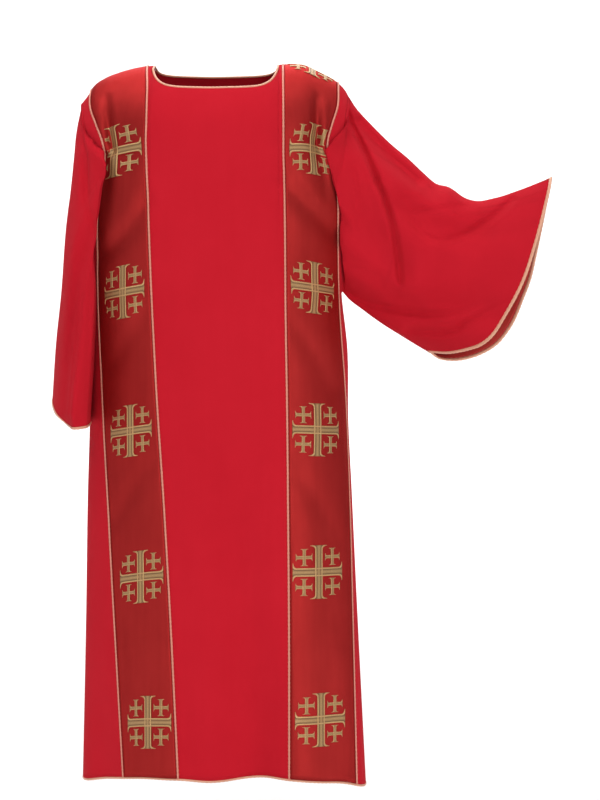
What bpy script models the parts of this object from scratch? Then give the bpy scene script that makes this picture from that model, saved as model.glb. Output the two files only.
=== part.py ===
"""A red dalmatic with two satin bands, as it is worn: one sleeve hangs, the other is held out.

Metres, +Z up. The wearer faces -Y, so the wearer's right side is at -X. The origin lies between the
shoulders, at the height where the neckline meets the shoulder seams. Every cloth wall is worked out
from rows of points, and what lies on a panel is made from that panel's own points, moved out.
"""

import math

import bmesh
import bpy
import numpy as np

# Thicknesses and trim sizes.
SEAM_GAP = 0.0003
CLOTH = 0.0015
SATIN = 0.0010
CORD_LANE = 0.0046
CORD_HEIGHT = 0.0022
CORD_TOP_INSET = 0.22
BAND_INSET = 0.0004
RIM_RADIUS = 0.0019
RIM_SIDES = 6
NECK_CORD_GAP = 0.0008
FACING_WIDTH = 0.022
FACING_GAP = 0.0005

# Heights and roundness of the body.
UNDERARM = -0.418
SECTION_POWER = 2.3
SHOULDER_ROUND = 0.13
ARMHOLE_OPEN = 0.50
NECK_SET_IN_RIGHT = 0.0095
NECK_SET_IN_LEFT = 0.0062
NECK_FRONT_DROP = 0.053
NECK_BACK_DROP = 0.018
NECK_POWER = 6
NECK_CORNER_STEP = 0.01
CORNER_PULL = 4

# How finely the cloth is divided.
UPPER_ROWS = 13
LOWER_ROWS = 12
SIDE_COLUMNS = 3
BAND_COLUMNS = 3
CENTRE_SHARES = (0.0296, 0.052, 0.09, 0.17, 0.32, 0.5, 0.68, 0.83, 0.91, 0.958, 0.984)
NECK_COLUMNS = (SIDE_COLUMNS + BAND_COLUMNS + 3, SIDE_COLUMNS + BAND_COLUMNS + len(CENTRE_SHARES) + 2)
SLEEVE_RINGS = (0.05, 0.11, 0.18, 0.26, 0.35, 0.44, 0.53, 0.62, 0.71, 0.80, 0.89, 0.955, 1.0)

# How a sleeve turns out of its armhole, and how its rolls begin and end.
TURN_IN = 0.0045
TURN_OUT = (0.0005, 0.003, 0.003)
ROLL_START = 0.3
ROLL_POWER_X = 1.5
ROLL_POWER_Y = 0.75
EDGE_CALM = 2.2

RED = (0.56, 0.012, 0.025)
SATIN_RED = (0.30, 0.018, 0.018)
GOLD = (0.62, 0.40, 0.20)


def table(names, *rows):
    """A short table: each named column becomes an array."""
    return dict(zip(names.split(), np.array(rows, dtype=float).T))


# The shoulder seams and what lies between them, seen from the front.
SHOULDERS = table(
    "x z",
    (-0.240, -0.066), (-0.232, -0.056), (-0.2245, -0.045), (-0.2165, -0.0355), (-0.200, -0.0245),
    (-0.170, -0.0125), (-0.120, -0.001), (0.004, 0.002), (0.128, 0.002), (0.170, -0.002),
    (0.192, -0.0125), (0.216, -0.0245), (0.235, -0.0365), (0.2437, -0.047), (0.2485, -0.056),
)

# The armhole edges, by the share of the way from the shoulder down to the underarm.
ARMHOLES = table(
    "share right left",
    (0.00, -0.2400, 0.2485), (0.15, -0.2330, 0.2420), (0.30, -0.2230, 0.2370), (0.50, -0.2220, 0.2410),
    (0.75, -0.2270, 0.2400), (1.00, -0.2285, 0.2360),
)

# The side seams and how deep and how far turned the body is, by height.
BODY = table(
    "z right left front back turn",
    (0.00, -0.2285, 0.236, 0.135, 0.120, 0.00),
    (-0.15, -0.2285, 0.236, 0.141, 0.135, 0.00),
    (-0.42, -0.2285, 0.236, 0.145, 0.132, 0.00),
    (-0.52, -0.2275, 0.2465, 0.143, 0.128, 0.03),
    (-0.65, -0.2310, 0.248, 0.142, 0.130, 0.07),
    (-0.80, -0.2370, 0.255, 0.143, 0.137, 0.12),
    (-1.00, -0.2420, 0.264, 0.146, 0.148, 0.18),
    (-1.32, -0.2520, 0.280, 0.152, 0.165, 0.26),
)

# The four lines of gold cord on the front, by height.
FRONT_LINES = table(
    "z right_outer right_inner left_inner left_outer",
    (0.00, -0.2240, -0.1205, 0.1277, 0.2290), (-0.045, -0.2235, -0.1155, 0.1285, 0.2285),
    (-0.080, -0.2215, -0.1150, 0.1288, 0.2265), (-0.113, -0.2090, -0.1153, 0.1290, 0.2165),
    (-0.147, -0.1965, -0.1162, 0.1290, 0.2080), (-0.170, -0.1930, -0.1156, 0.1290, 0.2100),
    (-0.200, -0.1965, -0.1147, 0.1300, 0.2190), (-0.240, -0.2035, -0.1129, 0.1307, 0.2260),
    (-0.290, -0.2070, -0.1112, 0.1316, 0.2275), (-0.340, -0.2075, -0.1096, 0.1320, 0.2275),
    (-0.440, -0.2070, -0.1058, 0.1326, 0.2300), (-0.600, -0.2010, -0.0983, 0.1352, 0.2410),
    (-0.800, -0.1910, -0.0858, 0.1373, 0.2490), (-1.000, -0.1810, -0.0748, 0.1392, 0.2540),
    (-1.320, -0.1635, -0.0600, 0.1400, 0.2615),
)

# The same on the back, where nothing pulls them aside.
BACK_LINES = table(
    "z right_outer right_inner left_inner left_outer",
    (0.00, -0.2240, -0.1205, 0.1277, 0.2290), (-0.045, -0.2235, -0.1145, 0.1285, 0.2285),
    (-0.200, -0.2050, -0.1130, 0.1260, 0.2180), (-0.440, -0.2050, -0.1110, 0.1270, 0.2190),
    (-0.800, -0.2230, -0.1200, 0.1180, 0.2190), (-1.320, -0.2350, -0.1290, 0.1080, 0.2150),
)

# The hem's height across the front and the back.
FRONT_HEM = table(
    "x z",
    (-0.252, -1.328), (-0.207, -1.314), (-0.164, -1.303), (-0.121, -1.296), (-0.061, -1.294),
    (0.000, -1.296), (0.060, -1.292), (0.100, -1.287), (0.141, -1.288), (0.200, -1.293),
    (0.250, -1.300), (0.280, -1.312),
)
BACK_HEM = table(
    "x z",
    (-0.252, -1.328), (-0.150, -1.322), (0.000, -1.316), (0.150, -1.312), (0.280, -1.312),
)

# Soft folds of the body. Each runs from a start past a bend to an end; a positive depth is a trough.
FRONT_FOLDS = table(
    "x1 z1 x2 z2 x3 z3 width depth1 depth2",
    (0.045, -0.72, 0.058, -1.00, 0.072, -1.34, 0.050, 0.000, 0.044),
    (-0.172, -0.060, -0.165, -0.105, -0.150, -0.165, 0.024, 0.012, 0.014),
    (0.182, -0.058, 0.188, -0.105, 0.193, -0.170, 0.024, 0.012, 0.014),
    (-0.225, -0.80, -0.218, -1.05, -0.205, -1.34, 0.030, 0.000, 0.016),
    (0.205, -0.60, 0.212, -0.95, 0.222, -1.34, 0.032, 0.002, 0.010),
    (-0.110, -0.85, -0.105, -1.10, -0.098, -1.34, 0.040, 0.000, -0.010),
)
BACK_FOLDS = table(
    "x1 z1 x2 z2 x3 z3 width depth1 depth2",
    (-0.060, -0.50, -0.070, -0.90, -0.085, -1.36, 0.038, 0.002, 0.034),
    (0.070, -0.42, 0.082, -0.85, 0.095, -1.36, 0.036, 0.002, 0.030),
    (0.175, -0.62, 0.185, -1.00, 0.198, -1.36, 0.034, 0.002, 0.024),
    (-0.178, -0.70, -0.186, -1.05, -0.196, -1.36, 0.032, 0.002, 0.022),
    (-0.195, -0.10, -0.175, -0.20, -0.120, -0.30, 0.030, 0.012, 0.004),
    (0.200, -0.10, 0.180, -0.20, 0.130, -0.30, 0.030, 0.012, 0.004),
)

# The hanging sleeve: its outer fold, its seam and the two halves of its cuff.
RIGHT_TOP = table(
    "x y z",
    (-0.2400, 0.000, -0.066), (-0.2462, 0.000, -0.091), (-0.2518, 0.000, -0.117), (-0.2576, 0.000, -0.172),
    (-0.2634, 0.000, -0.227), (-0.2710, 0.002, -0.283), (-0.2827, 0.004, -0.420), (-0.2924, 0.006, -0.504),
    (-0.3005, 0.008, -0.613),
)
RIGHT_SEAM = table(
    "x y z",
    (-0.2295, 0.000, -0.414), (-0.2335, 0.003, -0.440), (-0.2360, 0.004, -0.500), (-0.2385, 0.002, -0.580),
    (-0.2410, 0.000, -0.648),
)
RIGHT_CUFF_FRONT = table(
    "x y z",
    (-0.3005, 0.008, -0.613), (-0.2930, -0.040, -0.624), (-0.2805, -0.075, -0.637), (-0.2680, -0.082, -0.649),
    (-0.2570, -0.112, -0.655), (-0.2440, -0.146, -0.657), (-0.2270, -0.138, -0.655), (-0.2210, -0.090, -0.653),
    (-0.2275, -0.040, -0.650), (-0.2410, 0.000, -0.648),
)
RIGHT_CUFF_BACK = table(
    "x y z",
    (-0.3005, 0.008, -0.613), (-0.3010, 0.050, -0.620), (-0.2900, 0.090, -0.630), (-0.2760, 0.110, -0.637),
    (-0.2740, 0.140, -0.641), (-0.2640, 0.172, -0.644), (-0.2460, 0.178, -0.647), (-0.2350, 0.140, -0.649),
    (-0.2360, 0.070, -0.650), (-0.2410, 0.000, -0.648),
)

# The sleeve that is held out and bent at the elbow.
LEFT_TOP = table(
    "x y z",
    (0.2485, 0.000, -0.056), (0.2640, 0.000, -0.079), (0.2843, 0.000, -0.101), (0.3267, 0.000, -0.143),
    (0.3597, -0.005, -0.171), (0.3889, -0.010, -0.199), (0.4108, -0.015, -0.217), (0.4300, -0.020, -0.222),
    (0.4627, -0.035, -0.244), (0.4780, -0.045, -0.249), (0.5127, -0.070, -0.245), (0.5546, -0.105, -0.232),
    (0.6020, -0.150, -0.214),
)
LEFT_SEAM = table(
    "x y z",
    (0.2370, 0.000, -0.414), (0.2480, 0.000, -0.427), (0.2736, 0.000, -0.447), (0.3123, -0.005, -0.475),
    (0.3565, -0.010, -0.502), (0.3940, -0.020, -0.523),
)
LEFT_CUFF_FRONT = table(
    "x y z",
    (0.6020, -0.150, -0.214), (0.5985, -0.163, -0.230), (0.5905, -0.172, -0.262), (0.5835, -0.176, -0.289),
    (0.5690, -0.178, -0.341), (0.5525, -0.170, -0.393), (0.5275, -0.154, -0.446), (0.4965, -0.128, -0.496),
    (0.4835, -0.115, -0.507), (0.4590, -0.090, -0.517), (0.4270, -0.055, -0.524), (0.3940, -0.020, -0.523),
)
LEFT_CUFF_BACK = table(
    "x y z",
    (0.6020, -0.150, -0.214), (0.5985, -0.118, -0.251), (0.5930, -0.088, -0.295), (0.5850, -0.058, -0.348),
    (0.5780, -0.038, -0.388), (0.5670, -0.018, -0.424), (0.5435, 0.000, -0.480), (0.5205, 0.007, -0.509),
    (0.4935, 0.012, -0.526), (0.4365, 0.012, -0.539), (0.4135, -0.003, -0.536), (0.3940, -0.020, -0.523),
)

# Soft folds of the sleeves, front and back halves, in the same form as the body's.
RIGHT_FRONT_FOLDS = table(
    "x1 z1 x2 z2 x3 z3 width depth1 depth2",
    (-0.248, -0.200, -0.262, -0.300, -0.268, -0.600, 0.018, 0.004, 0.007),
    (-0.236, -0.380, -0.240, -0.460, -0.242, -0.620, 0.016, -0.002, -0.005),
)
RIGHT_BACK_FOLDS = table(
    "x1 z1 x2 z2 x3 z3 width depth1 depth2",
    (-0.246, -0.180, -0.264, -0.300, -0.274, -0.580, 0.016, 0.012, 0.004),
)
LEFT_FRONT_FOLDS = table(
    "x1 z1 x2 z2 x3 z3 width depth1 depth2",
    (0.262, -0.125, 0.300, -0.210, 0.339, -0.380, 0.024, 0.018, 0.012),
    (0.250, -0.090, 0.330, -0.155, 0.400, -0.225, 0.020, 0.008, 0.010),
    (0.359, -0.262, 0.412, -0.325, 0.485, -0.302, 0.024, 0.018, 0.010),
    (0.245, -0.415, 0.320, -0.452, 0.485, -0.438, 0.024, 0.014, 0.010),
    (0.372, -0.482, 0.440, -0.484, 0.506, -0.460, 0.018, 0.008, 0.006),
)
LEFT_BACK_FOLDS = table(
    "x1 z1 x2 z2 x3 z3 width depth1 depth2",
    (0.260, -0.110, 0.330, -0.260, 0.440, -0.400, 0.026, 0.016, 0.012),
    (0.250, -0.200, 0.300, -0.350, 0.400, -0.450, 0.026, 0.014, 0.012),
    (0.400, -0.225, 0.450, -0.320, 0.500, -0.380, 0.024, 0.012, 0.008),
)

# Rolls of sleeve cloth that fall over the front of the body beside the armholes.
# Places are shares along the sleeve and down its half, and the roll moves the cloth by dx and dy.
RIGHT_ROLLS = table(
    "along down along_width down_width dx dy",
    (0.20, 0.38, 0.20, 0.33, 0.018, -0.036),
    (0.45, 0.66, 0.30, 0.36, 0.006, -0.014),
)
LEFT_ROLLS = table(
    "along down along_width down_width dx dy",
    (0.09, 0.30, 0.10, 0.22, -0.024, -0.046),
)


def smooth(knots, values, where):
    """A cubic curve through the knots, flat past its ends."""
    values = np.asarray(values)
    slopes = np.gradient(values, knots, axis=0)
    where = np.clip(where, knots[0], knots[-1])
    low = np.clip(np.searchsorted(knots, where, side="right") - 1, 0, len(knots) - 2)
    span = knots[low + 1] - knots[low]
    part = (where - knots[low]) / span
    if values.ndim > 1:
        part = part[:, None]
        span = span[:, None]
    start, end = values[low], values[low + 1]
    bend = span * slopes[low] * part * (1 - part) ** 2 - span * slopes[low + 1] * part**2 * (1 - part)
    return start + (end - start) * part**2 * (3 - 2 * part) + bend


def by_height(rows, name, z):
    """A column of a table whose heights run downwards."""
    return smooth(-rows["z"], rows[name], -np.asarray(z, dtype=float))


def along_curve(rows, shares):
    """Points at shares of the length of the smooth curve through a table of x, y and z."""
    points = np.stack([rows["x"], rows["y"], rows["z"]], axis=1)
    knots = np.concatenate([[0], np.cumsum(np.linalg.norm(np.diff(points, axis=0), axis=1))])
    return smooth(knots, points, np.asarray(shares) * knots[-1])


def half_oval(ratio, power):
    """The height of a rounded oval over a share of its half width."""
    return (1 - np.clip(np.abs(ratio), 0, 1) ** power) ** (1 / power)


def fold_depth(folds, x, z):
    """How far the soft folds push the cloth in at each place."""
    depth = np.zeros_like(x)
    steps = np.linspace(0, 1, 25)
    for i in range(len(folds["width"])):
        x1, x2, x3, z1, z2, z3 = (folds[name][i] for name in ("x1", "x2", "x3", "z1", "z2", "z3"))
        line_x = x1 * (1 - steps) ** 2 + 2 * x2 * steps * (1 - steps) + x3 * steps**2
        line_z = z1 * (1 - steps) ** 2 + 2 * z2 * steps * (1 - steps) + z3 * steps**2
        away = np.hypot(x[..., None] - line_x, z[..., None] - line_z)
        nearest = away.argmin(axis=-1)
        size = folds["depth1"][i] + (folds["depth2"][i] - folds["depth1"][i]) * steps[nearest]
        depth = depth + size * np.exp(-((away.min(axis=-1) / folds["width"][i]) ** 2))
    return depth


def directions(grid):
    """The way each point's row of points runs, halfway between the steps that meet there."""
    steps = np.diff(grid, axis=0)
    steps = steps / np.linalg.norm(steps, axis=-1, keepdims=True)
    return np.concatenate([steps[:1], steps]) + np.concatenate([steps, steps[-1:]])


def normals(grid):
    """Unit normals of a grid of points."""
    normal = np.cross(directions(grid.swapaxes(0, 1)).swapaxes(0, 1), directions(grid))
    return normal / np.linalg.norm(normal, axis=-1, keepdims=True)


# The body's two panels.
def neck_edges():
    """Where the neckline meets the shoulder seams."""
    right = FRONT_LINES["right_inner"][0] + NECK_SET_IN_RIGHT
    left = FRONT_LINES["left_inner"][0] - NECK_SET_IN_LEFT
    return right, left


def top_line(side, x):
    """The height of a panel's top edge: shoulder seams, and the neckline between them."""
    right, left = neck_edges()
    ratio = (x - (right + left) / 2) / ((left - right) / 2)
    drop = NECK_FRONT_DROP if side < 0 else NECK_BACK_DROP
    dip = np.sqrt(1 - np.minimum(1, np.abs(ratio)) ** NECK_POWER)
    return smooth(SHOULDERS["x"], SHOULDERS["z"], x) - drop * dip


def row_height(side, upper, lower, x):
    """The height of a row: upper runs from the top edge to the underarm, lower on to the hem."""
    hem = FRONT_HEM if side < 0 else BACK_HEM
    above = top_line(side, x) * (1 - upper) + UNDERARM * upper
    return above + lower * (smooth(hem["x"], hem["z"], x) - UNDERARM)


def row_edges(upper, lower):
    """The two ends of a row, and the oval that it lies on."""
    if lower > 0:
        level = UNDERARM + lower * (BODY["z"][-1] - UNDERARM)
        right, left = by_height(BODY, "right", level), by_height(BODY, "left", level)
        reach = 1.0
    else:
        right = smooth(ARMHOLES["share"], ARMHOLES["right"], upper)
        left = smooth(ARMHOLES["share"], ARMHOLES["left"], upper)
        reach = half_oval(ARMHOLE_OPEN * math.sqrt(1 - upper**2), SECTION_POWER)
    return right, left, (right + left) / 2, (left - right) / 2 / reach


def panel_row(side, upper, lower):
    """One row of a panel, from the wearer's right edge to the left one."""
    lines = FRONT_LINES if side < 0 else BACK_LINES
    right, left, middle, half = row_edges(upper, lower)
    angles = np.linspace(-math.pi / 2, math.pi / 2, 361)
    plan_x = middle + half * np.sign(angles) * np.abs(np.sin(angles)) ** (2 / SECTION_POWER)
    depth = BODY["front"].mean() * np.cos(angles) ** (2 / SECTION_POWER)
    length = np.concatenate([[0], np.cumsum(np.hypot(np.diff(plan_x), np.diff(depth)))])
    marks = [np.interp(right, plan_x, length)]
    for name in ("right_outer", "right_inner", "left_inner", "left_outer"):
        x = lines[name][0]
        for _ in range(4):
            x = float(by_height(lines, name, row_height(side, upper, lower, np.array(x))))
        place = np.interp(x, plan_x, length)
        marks += [place - CORD_LANE / 2, place + CORD_LANE / 2]
    marks.append(np.interp(left, plan_x, length))
    stops = []
    for i, (start, end) in enumerate(zip(marks, marks[1:])):
        stops += [start + (end - start) * share for share in column_shares(i)]
    stops.append(marks[-1])
    x = np.interp(stops, length, plan_x)
    for column, corner in zip(NECK_COLUMNS, neck_edges()):
        x[column] += (corner - x[column]) * (1 - upper) ** CORNER_PULL
    return cloth_points(side, upper, lower, x, middle, half)


def column_shares(stretch):
    """How the nine stretches between side edges, cords and bands are divided."""
    if stretch in (0, 8):
        return [i / SIDE_COLUMNS for i in range(SIDE_COLUMNS)]
    if stretch in (2, 6):
        return [i / BAND_COLUMNS for i in range(BAND_COLUMNS)]
    if stretch == 4:
        return [0.0, *CENTRE_SHARES]
    return [0.0]


def cloth_points(side, upper, lower, x, middle, half):
    """Points of the outer face of a panel at the given places along a row."""
    z = row_height(side, upper, lower, x)
    drop = np.clip(smooth(SHOULDERS["x"], SHOULDERS["z"], x) - z, 0, SHOULDER_ROUND)
    rounding = np.sqrt(1 - (1 - drop / SHOULDER_ROUND) ** 2)
    oval = half_oval((x - middle) / half, SECTION_POWER)
    depth = by_height(BODY, "front" if side < 0 else "back", z) * oval
    folds = fold_depth(FRONT_FOLDS if side < 0 else BACK_FOLDS, x, z) * np.minimum(1, 2 * oval)
    turn = by_height(BODY, "turn", z) * (x - middle)
    y = side * (SEAM_GAP / 2 + (depth - folds) * rounding) - turn
    return np.stack([x, y, z], axis=1)


def make_panel(side):
    """A panel's points and outward normals. Rows run from the front hem up, or down to the back hem."""
    rows = [
        panel_row(side, (1 - math.cos(math.pi * i / UPPER_ROWS)) / 2, 0.0) for i in range(UPPER_ROWS + 1)
    ]
    rows += [panel_row(side, 1.0, (i + 1) / LOWER_ROWS) for i in range(LOWER_ROWS)]
    points = np.array(rows[::-1] if side < 0 else rows)
    outward = normals(points)
    outward *= np.sign((outward[..., 1] * side).sum())
    top = outward[-1] if side < 0 else outward[0]
    top_x = points[-1, :, 0] if side < 0 else points[0, :, 0]
    right, left = neck_edges()
    top[(top_x < right + 1e-6) | (top_x > left - 1e-6), 1] = 0
    down_side = slice(0, LOWER_ROWS + 1) if side < 0 else slice(UPPER_ROWS, None)
    outward[down_side, [0], 1] = 0
    outward[down_side, [-1], 1] = 0
    outward /= np.linalg.norm(outward, axis=-1, keepdims=True)
    return points, outward


# Sleeves.
def loop_outward(loop, normal):
    """Unit vectors that lie in the cloth and point away from it, across its closed edge."""
    along = np.roll(loop, -1, axis=0) - np.roll(loop, 1, axis=0)
    away = np.cross(normal, along)
    away /= np.linalg.norm(away, axis=1, keepdims=True)
    return away


def armhole_loop(front, back, column):
    """The armhole's edge, down the front and up the back: outer points and normals."""
    front_points, front_normals = front
    back_points, back_normals = back
    top_front, under_front = len(front_points) - 1, LOWER_ROWS
    down_rows, up_rows = range(top_front, under_front - 1, -1), range(UPPER_ROWS, -1, -1)
    down = [(front_points[r, column], front_normals[r, column]) for r in down_rows]
    up = [(back_points[r, column], back_normals[r, column]) for r in up_rows]
    top = ((down[0][0] + up[-1][0]) / 2, down[0][1])
    under = ((down[-1][0] + up[0][0]) / 2, down[-1][1])
    loop = [top, *down[1:-1], under, *up[1:-1]]
    return np.array([p for p, _ in loop]), np.array([n for _, n in loop])


def sleeve_half(edge, top_rows, seam_rows, cuff_rows, side, folds, rolls):
    """Half a sleeve, blended between its armhole edge, outer fold, seam and cuff."""
    down = (1 - np.cos(np.pi * np.arange(UPPER_ROWS + 1) / UPPER_ROWS)) / 2
    along = np.array(SLEEVE_RINGS)
    top, seam = along_curve(top_rows, along), along_curve(seam_rows, along)
    cuff = along_curve(cuff_rows, down)
    s, t = along[:, None, None], down[None, :, None]
    ruled = (1 - s) * edge + s * cuff
    sides = (1 - t) * top[:, None] + t * seam[:, None]
    corners = (1 - s) * ((1 - t) * edge[0] + t * edge[-1]) + s * ((1 - t) * cuff[0] + t * cuff[-1])
    points = ruled + sides - corners
    inside = np.clip(EDGE_CALM * np.sin(np.pi * np.arange(UPPER_ROWS + 1) / UPPER_ROWS), 0, 1)
    points[..., 1] -= side * fold_depth(folds, points[..., 0], points[..., 2]) * inside
    for i in range(len(rolls["dx"])):
        bump = np.exp(-(((along - rolls["along"][i]) / rolls["along_width"][i]) ** 2))[:, None]
        bump = bump * np.clip(along / ROLL_START, 0, 1)[:, None]
        bump = bump * np.exp(-(((down - rolls["down"][i]) / rolls["down_width"][i]) ** 2)) * inside
        points[..., 0] += bump**ROLL_POWER_X * rolls["dx"][i]
        points[..., 1] += bump**ROLL_POWER_Y * rolls["dy"][i]
    return points


def make_sleeve(front, back, column, shapes):
    """A sleeve's outer points ring by ring, its normals, and the first ring's inner points."""
    top_rows, seam_rows, front_cuff, back_cuff, front_folds, back_folds, rolls = shapes
    loop, normal = armhole_loop(front, back, column)
    away = loop_outward(loop, normal)
    centre = loop.mean(axis=0)
    away *= np.sign(((centre - loop) * away).sum(axis=1).mean())
    angle = 2 * np.pi * np.arange(len(loop))[:, None] / len(loop)
    lift = TURN_OUT[0] + TURN_OUT[1] * (1 - np.cos(angle)) / 2 + TURN_OUT[2] * np.abs(np.sin(angle))
    first = loop + away * SEAM_GAP * 1.5
    second = loop + away * TURN_IN + normal * lift
    n = UPPER_ROWS
    down_edge = second[: n + 1]
    up_edge = np.concatenate([second[:1], second[: n - 1 : -1]])
    no_rolls = {name: values[:0] for name, values in rolls.items()}
    down_half = sleeve_half(down_edge, top_rows, seam_rows, front_cuff, -1, front_folds, rolls)
    up_half = sleeve_half(up_edge, top_rows, seam_rows, back_cuff, 1, back_folds, no_rolls)
    rings = np.concatenate([down_half, up_half[:, n - 1 : 0 : -1]], axis=1)
    points = np.concatenate([[first], [second], rings])
    closed = np.concatenate([points[:, -1:], points, points[:, :1]], axis=1)
    outward = normals(closed)[:, 1:-1]
    middle = points.mean(axis=1, keepdims=True)
    outward *= np.sign(((points - middle) * outward).sum())
    outward[1:-1] += (outward[2:] + outward[:-2]) / 2
    outward += (np.roll(outward, 1, axis=1) + np.roll(outward, -1, axis=1)) / 2
    outward /= np.linalg.norm(outward, axis=-1, keepdims=True)
    outward[0] = normal
    return points, outward


# Solids.
def material(name, colour, roughness, metallic=0.0):
    made = bpy.data.materials.new(name)
    made.use_nodes = True
    shader = made.node_tree.nodes["Principled BSDF"]
    shader.inputs["Base Color"].default_value = (*colour, 1)
    shader.inputs["Roughness"].default_value = roughness
    shader.inputs["Metallic"].default_value = metallic
    return made


def add_object(name, mesh_data, finish):
    mesh = bpy.data.meshes.new(name)
    mesh_data.to_mesh(mesh)
    mesh_data.free()
    mesh.materials.append(finish)
    mesh.shade_smooth()
    mesh.set_sharp_from_angle(angle=math.radians(50))
    made = bpy.data.objects.new(name, mesh)
    bpy.context.scene.collection.objects.link(made)
    return made


def grid_sheet(points, turned=None):
    """A bmesh grid, triangulated, whose vertices carry their place in the grid.

    Faces between columns past the column named turned are split along their other diagonal.
    """
    rows, columns = points.shape[:2]
    sheet = bmesh.new()
    bmesh.ops.create_grid(sheet, x_segments=columns - 1, y_segments=rows - 1, size=1)
    place = sheet.verts.layers.int.new("place")
    flat = points.reshape(-1, 3)
    for i, vert in enumerate(sheet.verts):
        vert[place] = i
        vert.co = flat[i]
    if turned is not None:
        mirrored = [f for f in sheet.faces if min(v[place] % columns for v in f.verts) >= turned]
        bmesh.ops.triangulate(sheet, faces=mirrored, quad_method="ALTERNATE")
    rest = [f for f in sheet.faces if len(f.verts) == 4]
    bmesh.ops.triangulate(sheet, faces=rest, quad_method="FIXED")
    return sheet, place


def wall(name, outer, inner, finish, ring=False, turned=None):
    """A closed wall between two grids of points; a ring joins its last column to its first."""
    if ring:
        outer = np.concatenate([outer, outer[:, :1]], axis=1)
        inner = np.concatenate([inner, inner[:, :1]], axis=1)
    sheet, place = grid_sheet(outer, turned)
    if ring:
        bmesh.ops.remove_doubles(sheet, verts=sheet.verts[:], dist=1e-7)
    made = bmesh.ops.extrude_face_region(sheet, geom=sheet.faces[:])
    flat = inner.reshape(-1, 3)
    for item in made["geom"]:
        if isinstance(item, bmesh.types.BMVert):
            item.co = flat[item[place]]
    bmesh.ops.recalc_face_normals(sheet, faces=sheet.faces[:])
    return add_object(name, sheet, finish)


def add_rim(name, outer, inner, cloth_inside, finish, gap=SEAM_GAP):
    """The round cord along a closed edge; cloth_inside is a point set just inside that edge."""
    edge = (outer + inner) / 2
    normal = outer - inner
    normal /= np.linalg.norm(normal, axis=1, keepdims=True)
    away = loop_outward(edge, normal)
    away *= np.sign(((edge - cloth_inside) * away).sum(axis=1))[:, None]
    centre = edge + away * (RIM_RADIUS + gap)
    turns = 2 * math.pi * (np.arange(RIM_SIDES) + 0.5) / RIM_SIDES
    ring = [centre + RIM_RADIUS * (math.cos(a) * away + math.sin(a) * normal) for a in turns]
    points = np.array([*ring, ring[0]])
    points = np.concatenate([points, points[:, :1]], axis=1)
    tube, _ = grid_sheet(points)
    bmesh.ops.remove_doubles(tube, verts=tube.verts[:], dist=1e-7)
    bmesh.ops.recalc_face_normals(tube, faces=tube.faces[:])
    return add_object(name, tube, finish)


def strip_over_shoulder(front, back, first, last):
    """A stretch of columns from the front hem, over the shoulder seam, to the back hem."""
    columns = slice(first, last + 1)
    points = np.concatenate([front[0][:, columns], back[0][1:, columns]])
    outward = np.concatenate([front[1][:, columns], back[1][1:, columns]])
    return points, outward


def add_band(name, front, back, first, last, finish, turned=None):
    points, outward = strip_over_shoulder(front, back, first, last)
    for edge, neighbour in ((0, 1), (-1, -2)):
        step = points[:, neighbour] - points[:, edge]
        points[:, edge] += step * BAND_INSET / np.linalg.norm(step, axis=1, keepdims=True)
    low = points + outward * SEAM_GAP
    wall(name, low + outward * SATIN, low, finish, turned=turned)


def add_band_cord(name, front, back, first, finish, turned=None):
    """A narrow cord, flat below and narrower on top, within one lane of columns."""
    points, outward = strip_over_shoulder(front, back, first, first + 1)
    first_edge, across = points[:, :1], points[:, 1:] - points[:, :1]

    def lane(start, height):
        pair = np.concatenate([first_edge + start * across, first_edge + (1 - start) * across], axis=1)
        return pair + outward * height

    wall(name, lane(CORD_TOP_INSET, CORD_HEIGHT), lane(0, SEAM_GAP), finish, turned=turned)


def hem_loop(front, back):
    """The front's lowest row, then the back's, without doubling the side seams."""
    return np.concatenate([front, back[-2:0:-1]])


def neck_loop(front, back, first, last):
    """The front's row between two columns, then the back's."""
    return np.concatenate([front[first : last + 1], back[last - 1 : first : -1]])


def add_facing(name, points, outward, finish):
    """A strip inside the cuff, from the cuff's last rings, moved in past the sleeve's wall."""
    reach = np.linalg.norm(points[-1] - points[-2], axis=1)[:, None]
    share = np.minimum(FACING_WIDTH / reach, 1)
    upper = points[-1] + (points[-2] - points[-1]) * share
    upper_out = outward[-1] + (outward[-2] - outward[-1]) * share
    outer = np.array([upper, points[-1]])
    out = np.array([upper_out, outward[-1]])
    near = outer - out * (CLOTH + FACING_GAP)
    wall(name, near, near - out * SATIN, finish, ring=True)


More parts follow.
